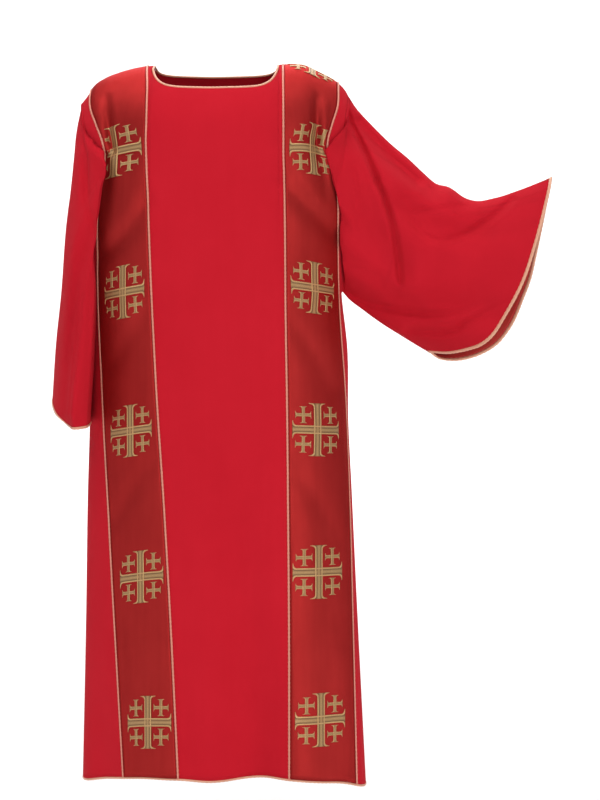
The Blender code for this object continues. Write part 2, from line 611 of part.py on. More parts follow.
def build():
    for thing in list(bpy.data.objects):
        bpy.data.objects.remove(thing)
    cloth = material("red_cloth", RED, 0.8)
    satin = material("red_satin", SATIN_RED, 0.45)
    gold = material("gold_cord", GOLD, 0.4, 0.6)

    front, back = make_panel(-1), make_panel(1)
    lane_1 = SIDE_COLUMNS
    lane_2 = lane_1 + 1 + BAND_COLUMNS
    lane_3 = lane_2 + 1 + len(CENTRE_SHARES) + 1
    lane_4 = lane_3 + 1 + BAND_COLUMNS
    middle = (lane_2 + 1 + lane_3) // 2
    for name, (points, outward) in (("front", front), ("back", back)):
        wall(name, points, points - outward * CLOTH, cloth, turned=middle)
    add_band("band_right", front, back, lane_1 + 1, lane_2, satin)
    add_band("band_left", front, back, lane_3 + 1, lane_4, satin, turned=0)
    add_band_cord("cord_right_outer", front, back, lane_1, gold)
    add_band_cord("cord_right_inner", front, back, lane_2, gold)
    add_band_cord("cord_left_inner", front, back, lane_3, gold, turned=0)
    add_band_cord("cord_left_outer", front, back, lane_4, gold, turned=0)

    front_in, back_in = (points - outward * CLOTH for points, outward in (front, back))
    above = hem_loop(front[0][1], back[0][-2])
    hem_out, hem_in = hem_loop(front[0][0], back[0][-1]), hem_loop(front_in[0], back_in[-1])
    add_rim("hem_cord", hem_out, hem_in, above, gold)
    first, last = lane_2 + 2, lane_3 - 1
    neck_out = neck_loop(front[0][-1], back[0][0], first, last)
    neck_in = neck_loop(front_in[-1], back_in[0], first, last)
    below = neck_loop(front[0][-2], back[0][1], first, last)
    below[0, 0] -= NECK_CORNER_STEP
    below[last - first, 0] += NECK_CORNER_STEP
    add_rim("neck_cord", neck_out, neck_in, below, gold, gap=NECK_CORD_GAP)

    right_shapes = (
        RIGHT_TOP, RIGHT_SEAM, RIGHT_CUFF_FRONT, RIGHT_CUFF_BACK,
        RIGHT_FRONT_FOLDS, RIGHT_BACK_FOLDS, RIGHT_ROLLS,
    )
    left_shapes = (
        LEFT_TOP, LEFT_SEAM, LEFT_CUFF_FRONT, LEFT_CUFF_BACK,
        LEFT_FRONT_FOLDS, LEFT_BACK_FOLDS, LEFT_ROLLS,
    )
    for name, column, shapes in (("right", 0, right_shapes), ("left", -1, left_shapes)):
        points, outward = make_sleeve(front, back, column, shapes)
        inner = points - outward * CLOTH
        wall("sleeve_" + name, points, inner, cloth, ring=True)
        add_rim("cuff_cord_" + name, points[-1], inner[-1], points[-2], gold)
        add_facing("cuff_facing_" + name, points, outward, satin)


build()
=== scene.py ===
# A red dalmatic as it is worn: one sleeve hangs, the other is held out.
# Metres, Z up. The wearer faces -Y, so the wearer's right side is at -X.
import math

import bmesh
import bpy
import numpy as np
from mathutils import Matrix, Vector
from mathutils.bvhtree import BVHTree


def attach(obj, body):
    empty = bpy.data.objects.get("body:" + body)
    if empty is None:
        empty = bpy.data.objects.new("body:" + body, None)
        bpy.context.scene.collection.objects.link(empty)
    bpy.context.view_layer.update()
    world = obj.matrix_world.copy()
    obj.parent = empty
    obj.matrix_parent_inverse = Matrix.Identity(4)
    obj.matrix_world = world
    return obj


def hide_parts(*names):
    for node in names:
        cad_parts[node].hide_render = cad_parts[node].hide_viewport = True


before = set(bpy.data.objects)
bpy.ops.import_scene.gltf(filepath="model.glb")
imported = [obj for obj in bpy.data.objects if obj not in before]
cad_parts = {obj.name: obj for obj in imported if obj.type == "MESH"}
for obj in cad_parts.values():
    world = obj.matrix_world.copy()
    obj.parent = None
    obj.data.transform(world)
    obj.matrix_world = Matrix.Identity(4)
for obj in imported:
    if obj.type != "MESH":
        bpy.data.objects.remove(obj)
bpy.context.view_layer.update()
print("packed frame loaded")

garment = {
    "seamGap": 0.0003,  # between pieces that are sewn together
    "cloth": 0.0015,
    "satin": 0.001,
    "facing": 0.001,
    "cordLane": 0.0046,  # the strip of cloth that a cord covers
    "bandInset": 0.0004,
    "underarm": -0.418,
    "sectionPower": 2.3,  # how square the body is, seen from above
    "shoulderRound": 0.13,
    "armholeOpen": 0.5,
    "neckSetInRight": 0.0095,
    "neckSetInLeft": 0.0062,
    "neckFrontDrop": 0.053,
    "neckBackDrop": 0.018,
    "neckPower": 6,
    "cornerFade": 4,
    "upperRows": 60,  # rows from the shoulder to the underarm
    "lowerRows": 96,  # rows from there to the hem
    "sideColumns": 8,
    "bandColumns": 26,
    "centreSplit": 4,
    "planSteps": 721,  # points on a row's outline before it is divided
    "foldSteps": 49,  # points along the line of a fold
    "foldFade": 2,  # how soon folds and creases reach their depth beside the side seams
    "creaseFade": 3,
    "rippleHeight": 0.0007,  # soft unevenness of hanging cloth
}
centreShares = (0.0296, 0.052, 0.09, 0.17, 0.32, 0.5, 0.68, 0.83, 0.91, 0.958, 0.984)


def table(names, *rows, per=1):  # each named column becomes an array
    return dict(zip(names.split(), np.array(rows, dtype=float).T / per))


def places(*rows):  # in millimetres
    return table("x y z", *rows, per=1000)


# Folds run from a start past a bend to an end. A positive depth is a trough.
def folds(*rows):  # in millimetres
    return table("x1 z1 x2 z2 x3 z3 width depth1 depth2", *rows, per=1000)


# The shoulder seams and what lies between them, seen from the front, in millimetres.
shoulders = table(
    "x z",
    (-240, -66), (-232, -56), (-224.5, -45), (-216.5, -35.5), (-200, -24.5), (-170, -12.5), (-120, -1),
    (4, 2), (128, 2), (170, -2), (192, -12.5), (216, -24.5), (235, -36.5), (243.7, -47), (248.5, -56),
    per=1000,
)

# The armhole edges, by the share of the way from the shoulder down to the underarm.
armholes = table(
    "share right left",
    (0, -0.24, 0.2485), (0.15, -0.233, 0.242), (0.3, -0.223, 0.237), (0.5, -0.222, 0.241),
    (0.75, -0.227, 0.24), (1, -0.2285, 0.236),
)

# The side seams and how deep and how far turned the body is, by height.
body = table(
    "z right left front back turn",
    (0, -0.2285, 0.236, 0.135, 0.12, 0),
    (-0.15, -0.2285, 0.236, 0.141, 0.135, 0),
    (-0.42, -0.2285, 0.236, 0.145, 0.132, 0),
    (-0.52, -0.2275, 0.2465, 0.143, 0.128, 0.03),
    (-0.65, -0.231, 0.248, 0.142, 0.13, 0.07),
    (-0.8, -0.237, 0.255, 0.143, 0.137, 0.12),
    (-1, -0.242, 0.264, 0.146, 0.148, 0.18),
    (-1.32, -0.252, 0.28, 0.152, 0.165, 0.26),
)

# The four lines of gold cord on each side, by height, in millimetres. Nothing pulls the back ones aside.
frontLines = table(
    "z rightOuter rightInner leftInner leftOuter",
    (0, -224, -120.5, 127.7, 229), (-45, -223.5, -115.5, 128.5, 228.5), (-80, -221.5, -115, 128.8, 226.5),
    (-113, -209, -115.3, 129, 216.5), (-147, -196.5, -116.2, 129, 208), (-170, -193, -115.6, 129, 210),
    (-200, -196.5, -114.7, 130, 219), (-240, -203.5, -112.9, 130.7, 226), (-290, -207, -111.2, 131.6, 227.5),
    (-340, -207.5, -109.6, 132, 227.5), (-440, -207, -105.8, 132.6, 230), (-600, -201, -98.3, 135.2, 241),
    (-800, -191, -85.8, 137.3, 249), (-1000, -181, -74.8, 139.2, 254), (-1320, -163.5, -60, 140, 261.5),
    per=1000,
)
backLines = table(
    "z rightOuter rightInner leftInner leftOuter",
    (0, -224, -120.5, 127.7, 229), (-45, -223.5, -114.5, 128.5, 228.5), (-200, -205, -113, 126, 218),
    (-440, -205, -111, 127, 219), (-800, -223, -120, 118, 219), (-1320, -235, -129, 108, 215),
    per=1000,
)

# The hem's height across the front and the back, in millimetres.
frontHem = table(
    "x z",
    (-252, -1328), (-207, -1314), (-164, -1303), (-121, -1296), (-61, -1294), (0, -1296), (60, -1292),
    (100, -1287), (141, -1288), (200, -1293), (250, -1300), (280, -1312),
    per=1000,
)
backHem = table("x z", (-252, -1328), (-150, -1322), (0, -1316), (150, -1312), (280, -1312), per=1000)

# Soft folds of the body, and the narrow creases that lie on them.
frontFolds = folds(
    (45, -720, 58, -1000, 72, -1340, 50, 0, 44), (-178, -60, -172, -105, -160, -165, 24, 3, 5),
    (182, -58, 188, -105, 193, -170, 24, 3, 5), (-225, -800, -218, -1050, -205, -1340, 30, 0, 16),
    (205, -600, 212, -950, 222, -1340, 32, 2, 10), (-110, -850, -105, -1100, -98, -1340, 40, 0, -10),
)
backFolds = folds(
    (-60, -500, -70, -900, -85, -1360, 38, 2, 34), (70, -420, 82, -850, 95, -1360, 36, 2, 30),
    (175, -620, 185, -1000, 198, -1360, 34, 2, 24), (-178, -700, -186, -1050, -196, -1360, 32, 2, 22),
    (-195, -100, -175, -200, -120, -300, 30, 12, 4), (200, -100, 180, -200, 130, -300, 30, 12, 4),
)
frontCreases = folds(
    (-190, -66, -188, -100, -178, -160, 8.5, 6, 15), (-206, -80, -206, -110, -198, -150, 7, -1, -3),
    (188.5, -66, 188, -100, 188, -150, 8.5, 6, 15), (205, -80, 205, -110, 202, -145, 6, -2, -4),
    (185, -135, 199, -180, 206, -250, 12, 12, 2), (-189, -168, -188, -220, -190, -280, 12, 10, 2),
    (-20, -300, -10, -420, 10, -560, 60, 2, 1), (-198, -352, -150, -315, -115, -258, 18, 8, 7),
    (-190, -560, -160, -520, -120, -450, 18, 4, 3), (-180, -830, -150, -780, -105, -720, 18, 3, 3),
    (131, -220, 175, -266, 228, -316, 18, 8, 10), (150, -480, 180, -520, 215, -590, 18, 3, 4),
    (155, -740, 185, -780, 225, -860, 18, 3, 3), (80, -900, 100, -1050, 108, -1200, 30, 1, 3),
)
backCreases = folds(
    (-150, -60, -120, -110, -60, -150, 14, 4, 1), (155, -60, 125, -110, 65, -150, 14, 4, 1),
    (10, -700, 14, -950, 20, -1300, 22, 1, 8), (-120, -760, -128, -1000, -140, -1300, 18, 1, 7),
)


def curve(knots, values, where):  # a cubic curve through the knots, flat past its ends
    values = np.asarray(values)
    slopes = np.gradient(values, knots, axis=0)
    where = np.clip(where, knots[0], knots[-1])
    low = np.clip(np.searchsorted(knots, where, side="right") - 1, 0, len(knots) - 2)
    span = knots[low + 1] - knots[low]
    part = (where - knots[low]) / span
    if values.ndim > 1:
        part, span = part[:, None], span[:, None]
    start, end = values[low], values[low + 1]
    bend = span * slopes[low] * part * (1 - part) ** 2 - span * slopes[low + 1] * part**2 * (1 - part)
    return start + (end - start) * part**2 * (3 - 2 * part) + bend


def atHeight(rows, name, z):
    return curve(-rows["z"], rows[name], -np.asarray(z, dtype=float))


def lengths(points):  # how far each point is along its line of points
    steps = np.linalg.norm(np.diff(points, axis=0), axis=-1)
    return np.concatenate([np.zeros_like(steps[:1]), np.cumsum(steps, axis=0)])


def unit(vectors):
    return vectors / np.maximum(np.linalg.norm(vectors, axis=-1, keepdims=True), 1e-12)


def between(rows, where):  # the row at each fractional place
    low = np.minimum(where.astype(int), len(rows) - 2)
    part = (where - low).reshape(-1, *[1] * (rows.ndim - 1))
    return rows[low] * (1 - part) + rows[low + 1] * part


def alongCurve(rows, shares):
    line = np.stack([rows[axis] for axis in "xyz"], axis=1)
    knots = lengths(line)
    return curve(knots, line, shares * knots[-1])


def halfOval(ratio):
    power = garment["sectionPower"]
    return (1 - np.clip(np.abs(ratio), 0, 1) ** power) ** (1 / power)


def foldDepth(rows, points, joined=False):  # how far the folds push the cloth in
    x, z = points[..., 0], points[..., -1]
    depth, deepest, highest = np.zeros_like(x), np.zeros_like(x), np.zeros_like(x)
    steps = np.linspace(0, 1, garment["foldSteps"])
    shares = ((1 - steps) ** 2, 2 * steps * (1 - steps), steps**2)
    for i, width in enumerate(rows["width"]):
        lineX, lineZ = (sum(rows[f"{axis}{n + 1}"][i] * shares[n] for n in range(3)) for axis in "xz")
        away = np.hypot(x[..., None] - lineX, z[..., None] - lineZ)
        share = steps[away.argmin(axis=-1)]
        size = rows["depth1"][i] + (rows["depth2"][i] - rows["depth1"][i]) * share
        valley = size * np.exp(-((away.min(axis=-1) / width) ** 2))
        depth += valley
        deepest, highest = np.maximum(deepest, valley), np.minimum(highest, valley)
    return deepest + highest if joined else depth


def runs(grid):  # the way each point's row of points runs
    steps = unit(np.diff(grid, axis=0))
    return np.concatenate([steps[:1], steps]) + np.concatenate([steps, steps[-1:]])


def gridNormals(grid):
    return unit(np.cross(runs(grid.swapaxes(0, 1)).swapaxes(0, 1), runs(grid)))


def ripple(points, seed):  # soft unevenness, the same on every run
    x, z = points[..., 0], points[..., 2]
    a = np.sin(61 * x + 9 * z + seed) * np.sin(17 * z - 23 * x + 2 * seed)
    b = np.sin(33 * z + 41 * x + 3 * seed) * np.cos(29 * x - 11 * z)
    return garment["rippleHeight"] * (a + 0.7 * b)


def neckEdges():
    right = frontLines["rightInner"][0] + garment["neckSetInRight"]
    left = frontLines["leftInner"][0] - garment["neckSetInLeft"]
    return right, left


def topLine(side, x):
    right, left = neckEdges()
    ratio = (x - (right + left) / 2) / ((left - right) / 2)
    drop = garment["neckFrontDrop"] if side < 0 else garment["neckBackDrop"]
    dip = drop * np.sqrt(1 - np.minimum(1, np.abs(ratio)) ** garment["neckPower"])
    return curve(shoulders["x"], shoulders["z"], x) - dip


def rowHeight(side, upper, lower, x):
    hem = frontHem if side < 0 else backHem
    under = garment["underarm"]
    above = topLine(side, x) * (1 - upper) + under * upper
    return above + lower * (curve(hem["x"], hem["z"], x) - under)


def rowEdges(upper, lower):
    if lower > 0:
        level = garment["underarm"] + lower * (body["z"][-1] - garment["underarm"])
        right, left, reach = atHeight(body, "right", level), atHeight(body, "left", level), 1.0
    else:
        right, left = (curve(armholes["share"], armholes[name], upper) for name in ("right", "left"))
        reach = halfOval(garment["armholeOpen"] * math.sqrt(1 - upper**2))
    return right, left, (right + left) / 2, (left - right) / 2 / reach


def columnShares(stretch):  # how the nine stretches of a row are divided
    if stretch == 4:
        coarse, split = [0.0, *centreShares, 1.0], garment["centreSplit"]
        return np.interp(np.arange(split * (len(coarse) - 1)) / split, np.arange(len(coarse)), coarse)
    side, band = garment["sideColumns"], garment["bandColumns"]
    count = {0: side, 2: band, 6: band, 8: side}.get(stretch, 1)
    return np.arange(count) / count


firstColumn = np.cumsum([0, *(len(columnShares(i)) for i in range(9))])  # where each stretch starts
neckColumns = (firstColumn[4] + garment["centreSplit"], firstColumn[5] - garment["centreSplit"])


def panelRow(side, upper, lower):
    lines = frontLines if side < 0 else backLines
    power = garment["sectionPower"]
    right, left, middle, half = rowEdges(upper, lower)
    angles = np.linspace(-math.pi / 2, math.pi / 2, garment["planSteps"])
    planX = middle + half * np.sign(angles) * np.abs(np.sin(angles)) ** (2 / power)
    depth = body["front"].mean() * np.cos(angles) ** (2 / power)
    length = lengths(np.stack([planX, depth], axis=1))
    marks = [np.interp(right, planX, length)]
    for name in ("rightOuter", "rightInner", "leftInner", "leftOuter"):
        x = lines[name][0]
        for _ in range(4):  # settles on the height where the line crosses the row
            x = float(atHeight(lines, name, rowHeight(side, upper, lower, np.array(x))))
        place = np.interp(x, planX, length)
        marks += [place - garment["cordLane"] / 2, place + garment["cordLane"] / 2]
    marks.append(np.interp(left, planX, length))
    stops = [start + (end - start) * columnShares(i) for i, (start, end) in enumerate(zip(marks, marks[1:]))]
    x = np.interp(np.concatenate([*stops, [marks[-1]]]), length, planX)
    for column, corner in zip(neckColumns, neckEdges()):
        near = np.clip(1 - np.abs(np.arange(len(x)) - column) / garment["centreSplit"], 0, 1)
        x = x + near * (corner - x[column]) * (1 - upper) ** garment["cornerFade"]
    return clothPoints(side, upper, lower, x, middle, half)


def clothPoints(side, upper, lower, x, middle, half):
    front = side < 0
    z = rowHeight(side, upper, lower, x)
    drop = np.clip(curve(shoulders["x"], shoulders["z"], x) - z, 0, garment["shoulderRound"])
    rounding = np.sqrt(1 - (1 - drop / garment["shoulderRound"]) ** 2)
    oval = halfOval((x - middle) / half)
    depth = atHeight(body, "front" if front else "back", z) * oval
    seen = np.stack([x, z], axis=1)
    calm = np.minimum(1, garment["creaseFade"] * oval)
    pushed = foldDepth(frontFolds if front else backFolds, seen) * np.minimum(1, garment["foldFade"] * oval)
    pushed += foldDepth(frontCreases if front else backCreases, seen, joined=True) * calm
    turn = atHeight(body, "turn", z) * (x - middle)
    y = side * (garment["seamGap"] / 2 + (depth - pushed) * rounding) - turn
    points = np.stack([x, y, z], axis=1)
    points[:, 1] += ripple(points, 1.0 + side) * rounding * calm
    return points


def makePanel(side):  # rows run from the front hem up, or down to the back hem
    upperRows, lowerRows = garment["upperRows"], garment["lowerRows"]
    rows = [panelRow(side, (1 - math.cos(math.pi * i / upperRows)) / 2, 0.0) for i in range(upperRows + 1)]
    rows += [panelRow(side, 1.0, (i + 1) / lowerRows) for i in range(lowerRows)]
    points = np.array(rows[::-1] if side < 0 else rows)
    outward = gridNormals(points)
    outward *= np.sign((outward[..., 1] * side).sum())
    topRow = -1 if side < 0 else 0
    right, left = neckEdges()
    topX = points[topRow, :, 0]
    outward[topRow, (topX < right + 1e-6) | (topX > left - 1e-6), 1] = 0
    downSide = slice(0, lowerRows + 1) if side < 0 else slice(upperRows, None)
    outward[downSide, [0, -1], 1] = 0
    return points, unit(outward)


def awayFromCloth(loop, normal):  # across a closed edge, in the plane of the cloth
    along = np.roll(loop, -1, axis=0) - np.roll(loop, 1, axis=0)
    return unit(np.cross(normal, along))


def armholeLoop(front, back, column):  # down the front and up the back
    down = [part[garment["lowerRows"] :, column][::-1] for part in front]
    up = [part[: garment["upperRows"] + 1, column][::-1] for part in back]
    points, outward = (np.concatenate([down[i], up[i][1:-1]]) for i in (0, 1))
    under = garment["upperRows"]
    points[0], points[under] = (down[0][0] + up[0][-1]) / 2, (down[0][-1] + up[0][0]) / 2
    return points, outward


def sleeveHalf(edge, shape, which, side):
    angle = np.pi * np.arange(len(edge)) / (len(edge) - 1)
    down = (1 - np.cos(angle)) / 2
    along = (np.arange(1, shape["rings"] + 1) / shape["rings"]) ** shape["ringSpacing"]
    top, seam = alongCurve(shape["top"], along), alongCurve(shape["seam"], along)
    cuff = alongCurve(shape[which + "Cuff"], down)
    s, t = along[:, None, None], down[None, :, None]
    ruled = (1 - s) * edge + s * cuff
    sides = (1 - t) * top[:, None] + t * seam[:, None]
    corners = (1 - s) * ((1 - t) * edge[0] + t * edge[-1]) + s * ((1 - t) * cuff[0] + t * cuff[-1])
    points = ruled + sides - corners
    inside = np.clip(shape["foldFade"] * np.sin(angle), 0, 1)
    calm = inside * np.clip(along / shape["calmStart"], 0, 1)[:, None]
    points[..., 1] -= side * foldDepth(shape[which + "Folds"], points) * inside
    if which == "front":
        for alongAt, downAt, inWidth, outWidth, downWidth, dx, dy in zip(*shape["rolls"].values()):
            past = along - alongAt
            bump = np.exp(-((past / np.where(past > 0, outWidth, inWidth)) ** 2))[:, None]
            bump = bump * np.exp(-(((down - downAt) / downWidth) ** 2)) * inside
            bump = bump * np.clip(along / shape["rollStart"], 0, 1)[:, None]
            points[..., 0] += bump**1.5 * dx
            points[..., 1] += bump**0.75 * dy
    points[..., 1] -= side * foldDepth(shape[which + "Creases"], points, joined=True) * calm
    points[..., 1] += ripple(points, 2.0 + side + 3 * shape["column"]) * calm
    return points


def finerLoop(loop, times):  # more points along a closed loop, on its own straight steps
    return between(np.concatenate([loop, loop[:1]]), np.arange(len(loop) * times) / times)


def keepOff(points, panel, clearance, shape):  # lifts the points of a sleeve off a panel that they would enter
    grid, outward = panel
    rows, columns = grid.shape[:2]
    at = np.arange(rows * columns).reshape(rows, columns)
    corners = np.stack([at[:-1, :-1], at[:-1, 1:], at[1:, 1:], at[1:, :-1]], axis=-1).reshape(-1, 4)
    tree = BVHTree.FromPolygons(grid.reshape(-1, 3).tolist(), corners.tolist())
    facing = outward[:-1, :-1].reshape(-1, 3)
    shift = np.zeros_like(points)
    for r, c in np.ndindex(points.shape[:2]):
        spot, normal, face, away = tree.find_nearest(Vector(points[r, c]), shape["searchReach"])
        if spot is None:
            continue
        normal = np.array(normal) * np.sign(np.dot(normal, facing[face]))
        step = points[r, c] - np.array(spot)
        height = step @ normal
        if height < clearance[r] and np.linalg.norm(step - height * normal) < shape["straightBelow"]:
            shift[r, c] = normal * (clearance[r] - height)
    for _ in range(2):  # evens the lift out
        padded = np.pad(shift, ((1, 1), (1, 1), (0, 0)), mode="edge")
        near = (padded[:-2, 1:-1] + padded[2:, 1:-1] + padded[1:-1, :-2] + padded[1:-1, 2:]) / 4
        larger = np.linalg.norm(near, axis=2, keepdims=True) > np.linalg.norm(shift, axis=2, keepdims=True)
        shift = np.where(larger, near, shift)
    return points + shift


def makeSleeve(front, back, shape):  # outer points ring by ring, and normals
    loop, normal = (finerLoop(part, shape["finer"]) for part in armholeLoop(front, back, shape["column"]))
    normal = unit(normal)
    away = awayFromCloth(loop, normal)
    away *= np.sign(((loop.mean(axis=0) - loop) * away).sum(axis=1).mean())
    angle = 2 * np.pi * np.arange(len(loop))[:, None] / len(loop)
    lift = shape["lift"] + shape["underLift"] * (1 - np.cos(angle)) + shape["sideLift"] * np.abs(np.sin(angle))
    turns = [loop + away * garment["seamGap"] * 1.5]
    for share in (0.3, 0.6, 1.0):  # the seam allowance turns out of the armhole
        turns.append(loop + away * shape["turnOut"] * share + normal * lift * share**2)
    n = len(loop) // 2
    upEdge = np.concatenate([turns[-1][:1], turns[-1][: n - 1 : -1]])
    downHalf = sleeveHalf(turns[-1][: n + 1], shape, "front", -1)
    upHalf = sleeveHalf(upEdge, shape, "back", 1)
    limit = atHeight(shape["rollEdge"], "x", downHalf[..., 2])
    sign = -1 if shape["column"] == 0 else 1
    room = sign * (downHalf[..., 0] - limit) / shape["edgeSoftness"]
    held = limit + sign * shape["edgeSoftness"] * np.logaddexp(0, room)
    ring = np.arange(shape["rings"])
    downHalf[..., 0] += (held - downHalf[..., 0]) * np.clip(ring / shape["edgeRings"], 0, 1)[:, None]
    clearance = shape["clearance"] * np.clip((ring + 1) / shape["clearRings"], 0, 1)
    downHalf = keepOff(downHalf, front, clearance, shape)
    rings = np.concatenate([downHalf, upHalf[:, n - 1 : 0 : -1]], axis=1)
    points = np.concatenate([turns, rings])
    outward = gridNormals(np.concatenate([points[:, -1:], points, points[:, :1]], axis=1))[:, 1:-1]
    outward *= np.sign(((points - points.mean(axis=1, keepdims=True)) * outward).sum())
    return points, outward


def finishMesh(name, sheet, material, thickness=0.0):
    mesh = bpy.data.meshes.new(name)
    sheet.to_mesh(mesh)
    sheet.free()
    mesh.materials.append(material)
    mesh.shade_smooth()
    made = bpy.data.objects.new(name, mesh)
    bpy.context.scene.collection.objects.link(made)
    if thickness:
        wall = made.modifiers.new("wall", "SOLIDIFY")
        wall.thickness = thickness
        wall.offset = -1  # inwards
    return made


def addGrid(sheet, points, u, v, outward):  # a mapped grid facing outward; gives the place of each vertex
    rows, columns = points.shape[:2]
    grid = bmesh.ops.create_grid(sheet, x_segments=columns - 1, y_segments=rows - 1, size=1)["verts"]
    placeOf = {vert: divmod(i, columns) for i, vert in enumerate(grid)}
    for vert, at in placeOf.items():
        vert.co = points[at]
    faces = list(dict.fromkeys(face for vert in grid for face in vert.link_faces))
    threads = sheet.loops.layers.uv["threads"]
    for face in faces:
        for corner in face.loops:
            at = placeOf[corner.vert]
            corner[threads].uv = (u[at], v[at])
    sheet.normal_update()
    if sum(face.normal.dot(Vector(outward[placeOf[face.verts[0]]])) for face in faces) < 0:
        bmesh.ops.reverse_faces(sheet, faces=faces)
    return placeOf


def surfacePiece(name, points, outward, material, thickness=0.0, ring=False, caps=False):
    if ring:
        points, outward = (np.concatenate([part, part[:, :1]], axis=1) for part in (points, outward))
    u, v = lengths(points.swapaxes(0, 1)).T, lengths(points)
    if not ring:
        u = u - u[:, [u.shape[1] // 2]]
    sheet = bmesh.new()
    sheet.loops.layers.uv.new("threads")
    addGrid(sheet, points, u, v, outward)
    if ring:
        bmesh.ops.remove_doubles(sheet, verts=sheet.verts[:], dist=1e-7)
    if caps:
        bmesh.ops.holes_fill(sheet, edges=[e for e in sheet.edges if e.is_boundary], sides=0)
    return finishMesh(name, sheet, material, thickness)


def overShoulder(front, back, first, last):  # columns from the front hem to the back hem
    columns = slice(first, last + 1)
    return [np.concatenate([front[i][:, columns], back[i][1:, columns]]) for i in (0, 1)]


def resampled(points, outward, step):  # a line of points and normals at even steps
    keep = np.concatenate([[True], np.linalg.norm(np.diff(points, axis=0), axis=1) > 1e-6])
    points, outward = points[keep], outward[keep]
    length = lengths(points)
    stops = np.linspace(0, length[-1], max(8, int(length[-1] / step)) + 1)
    at = np.interp(stops, length, np.arange(len(length)))
    return between(points, at), unit(between(outward, at)), stops


def twistedCord(name, line, normal, shape, material, loop=False):  # an oval cord with the twist of its plies
    if loop:
        line, normal = np.concatenate([line, line[:1]]), np.concatenate([normal, normal[:1]])
    centre, out, stops = resampled(line, normal, shape["step"])
    if loop:
        centre, out, stops = centre[:-1], out[:-1], stops[:-1]
        tangent = np.roll(centre, -1, axis=0) - np.roll(centre, 1, axis=0)
        twist = 2 * np.pi * round(stops[-1] / shape["pitch"]) * np.arange(len(stops)) / len(stops)
    else:
        tangent = np.gradient(centre, axis=0)
        twist = 2 * np.pi * stops / shape["pitch"]
    tangent = unit(tangent)
    beside = unit(np.cross(tangent, out))
    out = np.cross(beside, tangent)
    angle = 2 * np.pi * np.arange(shape["around"]) / shape["around"]
    bulge = 1 + shape["relief"] * np.cos(shape["plies"] * angle[None, :] - twist[:, None])
    wide = (shape["width"] / 2 * bulge * np.cos(angle))[..., None]
    high = (shape["height"] / 2 * bulge * np.sin(angle))[..., None]
    outward = wide * beside[:, None] + high * out[:, None]
    points = centre[:, None] + outward
    if loop:
        points, outward = np.concatenate([points, points[:1]]), np.concatenate([outward, outward[:1]])
    return surfacePiece(name, points, outward, material, ring=True, caps=not loop)


def place(piece, node, slot):
    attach(piece, "root")
    if node:
        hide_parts(node)
    return piece


# Embroidered crosses on the bands, worked flat in metres and then laid on the satin.
# Ridges are placed from a bar's middle out, by shares of its half width, and their heights are in millimetres.
# A ridge's tone is painted shade and painted highlight: dark in the low groove, light on raised ridges and at a
# bar's edges.
serifShape = table("depth flare", (0, 1), (0.1, 1), (0.19, 0.63), (0.31, 0.32), (0.5, 0.1), (0.75, 0.01), (1, 0))
embroidery = {
    "large": {
        "halfHeight": 0.048, "halfWidth": 0.0465, "uprightHalf": 0.0073, "barHalf": 0.0077,
        "serifHalf": 0.0164, "serifLength": 0.0085, "uprightRaised": 0.2, "steps": 14,
        "middles": ((0, 0),),
        "ridges": table(
            "place height tone",
            (0, 0.6, 0.75), (0.38, 0.45, 0.35), (0.58, 0.2, 0), (0.72, 0.8, 1), (0.93, 0.8, 1), (1, 0, 0.9),
        ),
    },
    "small": {
        "halfHeight": 0.0153, "halfWidth": 0.0145, "uprightHalf": 0.0029, "barHalf": 0.0029,
        "serifHalf": 0.0068, "serifLength": 0.0046, "uprightRaised": 0.15, "steps": 7,
        "middles": ((-0.0268, -0.0267), (-0.0268, 0.0267), (0.0268, -0.0267), (0.0268, 0.0267)),
        "ridges": table("place height tone", (0, 0.5, 0.6), (0.35, 0.35, 0.45), (0.8, 0.7, 1), (1, 0, 0.9)),
    },
    "thread": 0.0004, "offSatin": 0.00005, "ridgeHeight": 0.001, "endHeight": 0.0001,
    "innerFlare": 0.35, "edgePower": 3,  # how ridges follow a widened end
    "spacing": 0.2635, "hemMargin": 0.07, "edgeMargin": 0.0015, "slopeReach": 0.03,
}


def flatBar(look, halfLength, halfWidth, raised):
    depth = look["serifLength"]
    ridges = {name: np.append(row[:0:-1], row) for name, row in look["ridges"].items()}
    ridges["place"][: len(ridges["place"]) // 2] *= -1
    plain = np.linspace(0, halfLength - depth, look["steps"])
    tip = halfLength - depth * serifShape["depth"][-2::-1]
    s = np.concatenate([-tip[::-1], -plain[:0:-1], plain, tip])[:, None]
    flare = np.interp((halfLength - np.abs(s)) / depth, serifShape["depth"], serifShape["flare"])
    inner = ridges["place"] * halfWidth * (1 + embroidery["innerFlare"] * flare)
    edge = ridges["place"] * (halfWidth + (look["serifHalf"] - halfWidth) * flare)
    outerness = np.abs(ridges["place"]) ** embroidery["edgePower"]
    across = inner * (1 - outerness) + edge * outerness
    full = np.ones_like(across)
    height = (ridges["height"] + raised) * embroidery["ridgeHeight"] * full
    height[[0, -1]] = embroidery["endHeight"]
    return across, s * full, height, ridges["tone"] * full


def crossParts():  # every bar as across, along, height and tone, the painted shade and highlight, on a flat cross
    parts = []
    for look in (embroidery["large"], embroidery["small"]):
        for dx, dz in look["middles"]:
            across, along, *rest = flatBar(look, look["halfWidth"], look["barHalf"], 0.0)
            parts.append((along + dx, across + dz, *rest))
            across, along, *rest = flatBar(look, look["halfHeight"], look["uprightHalf"], look["uprightRaised"])
            parts.append((across + dx, along + dz, *rest))
    return parts


def bandRuler(points, outward):  # lengths along and across a band
    middle = points.shape[1] // 2
    across = lengths(points.swapaxes(0, 1)).T
    return {
        "points": points, "outward": outward, "middle": middle,
        "along": lengths(points[:, middle]), "across": across - across[:, [middle]],
    }


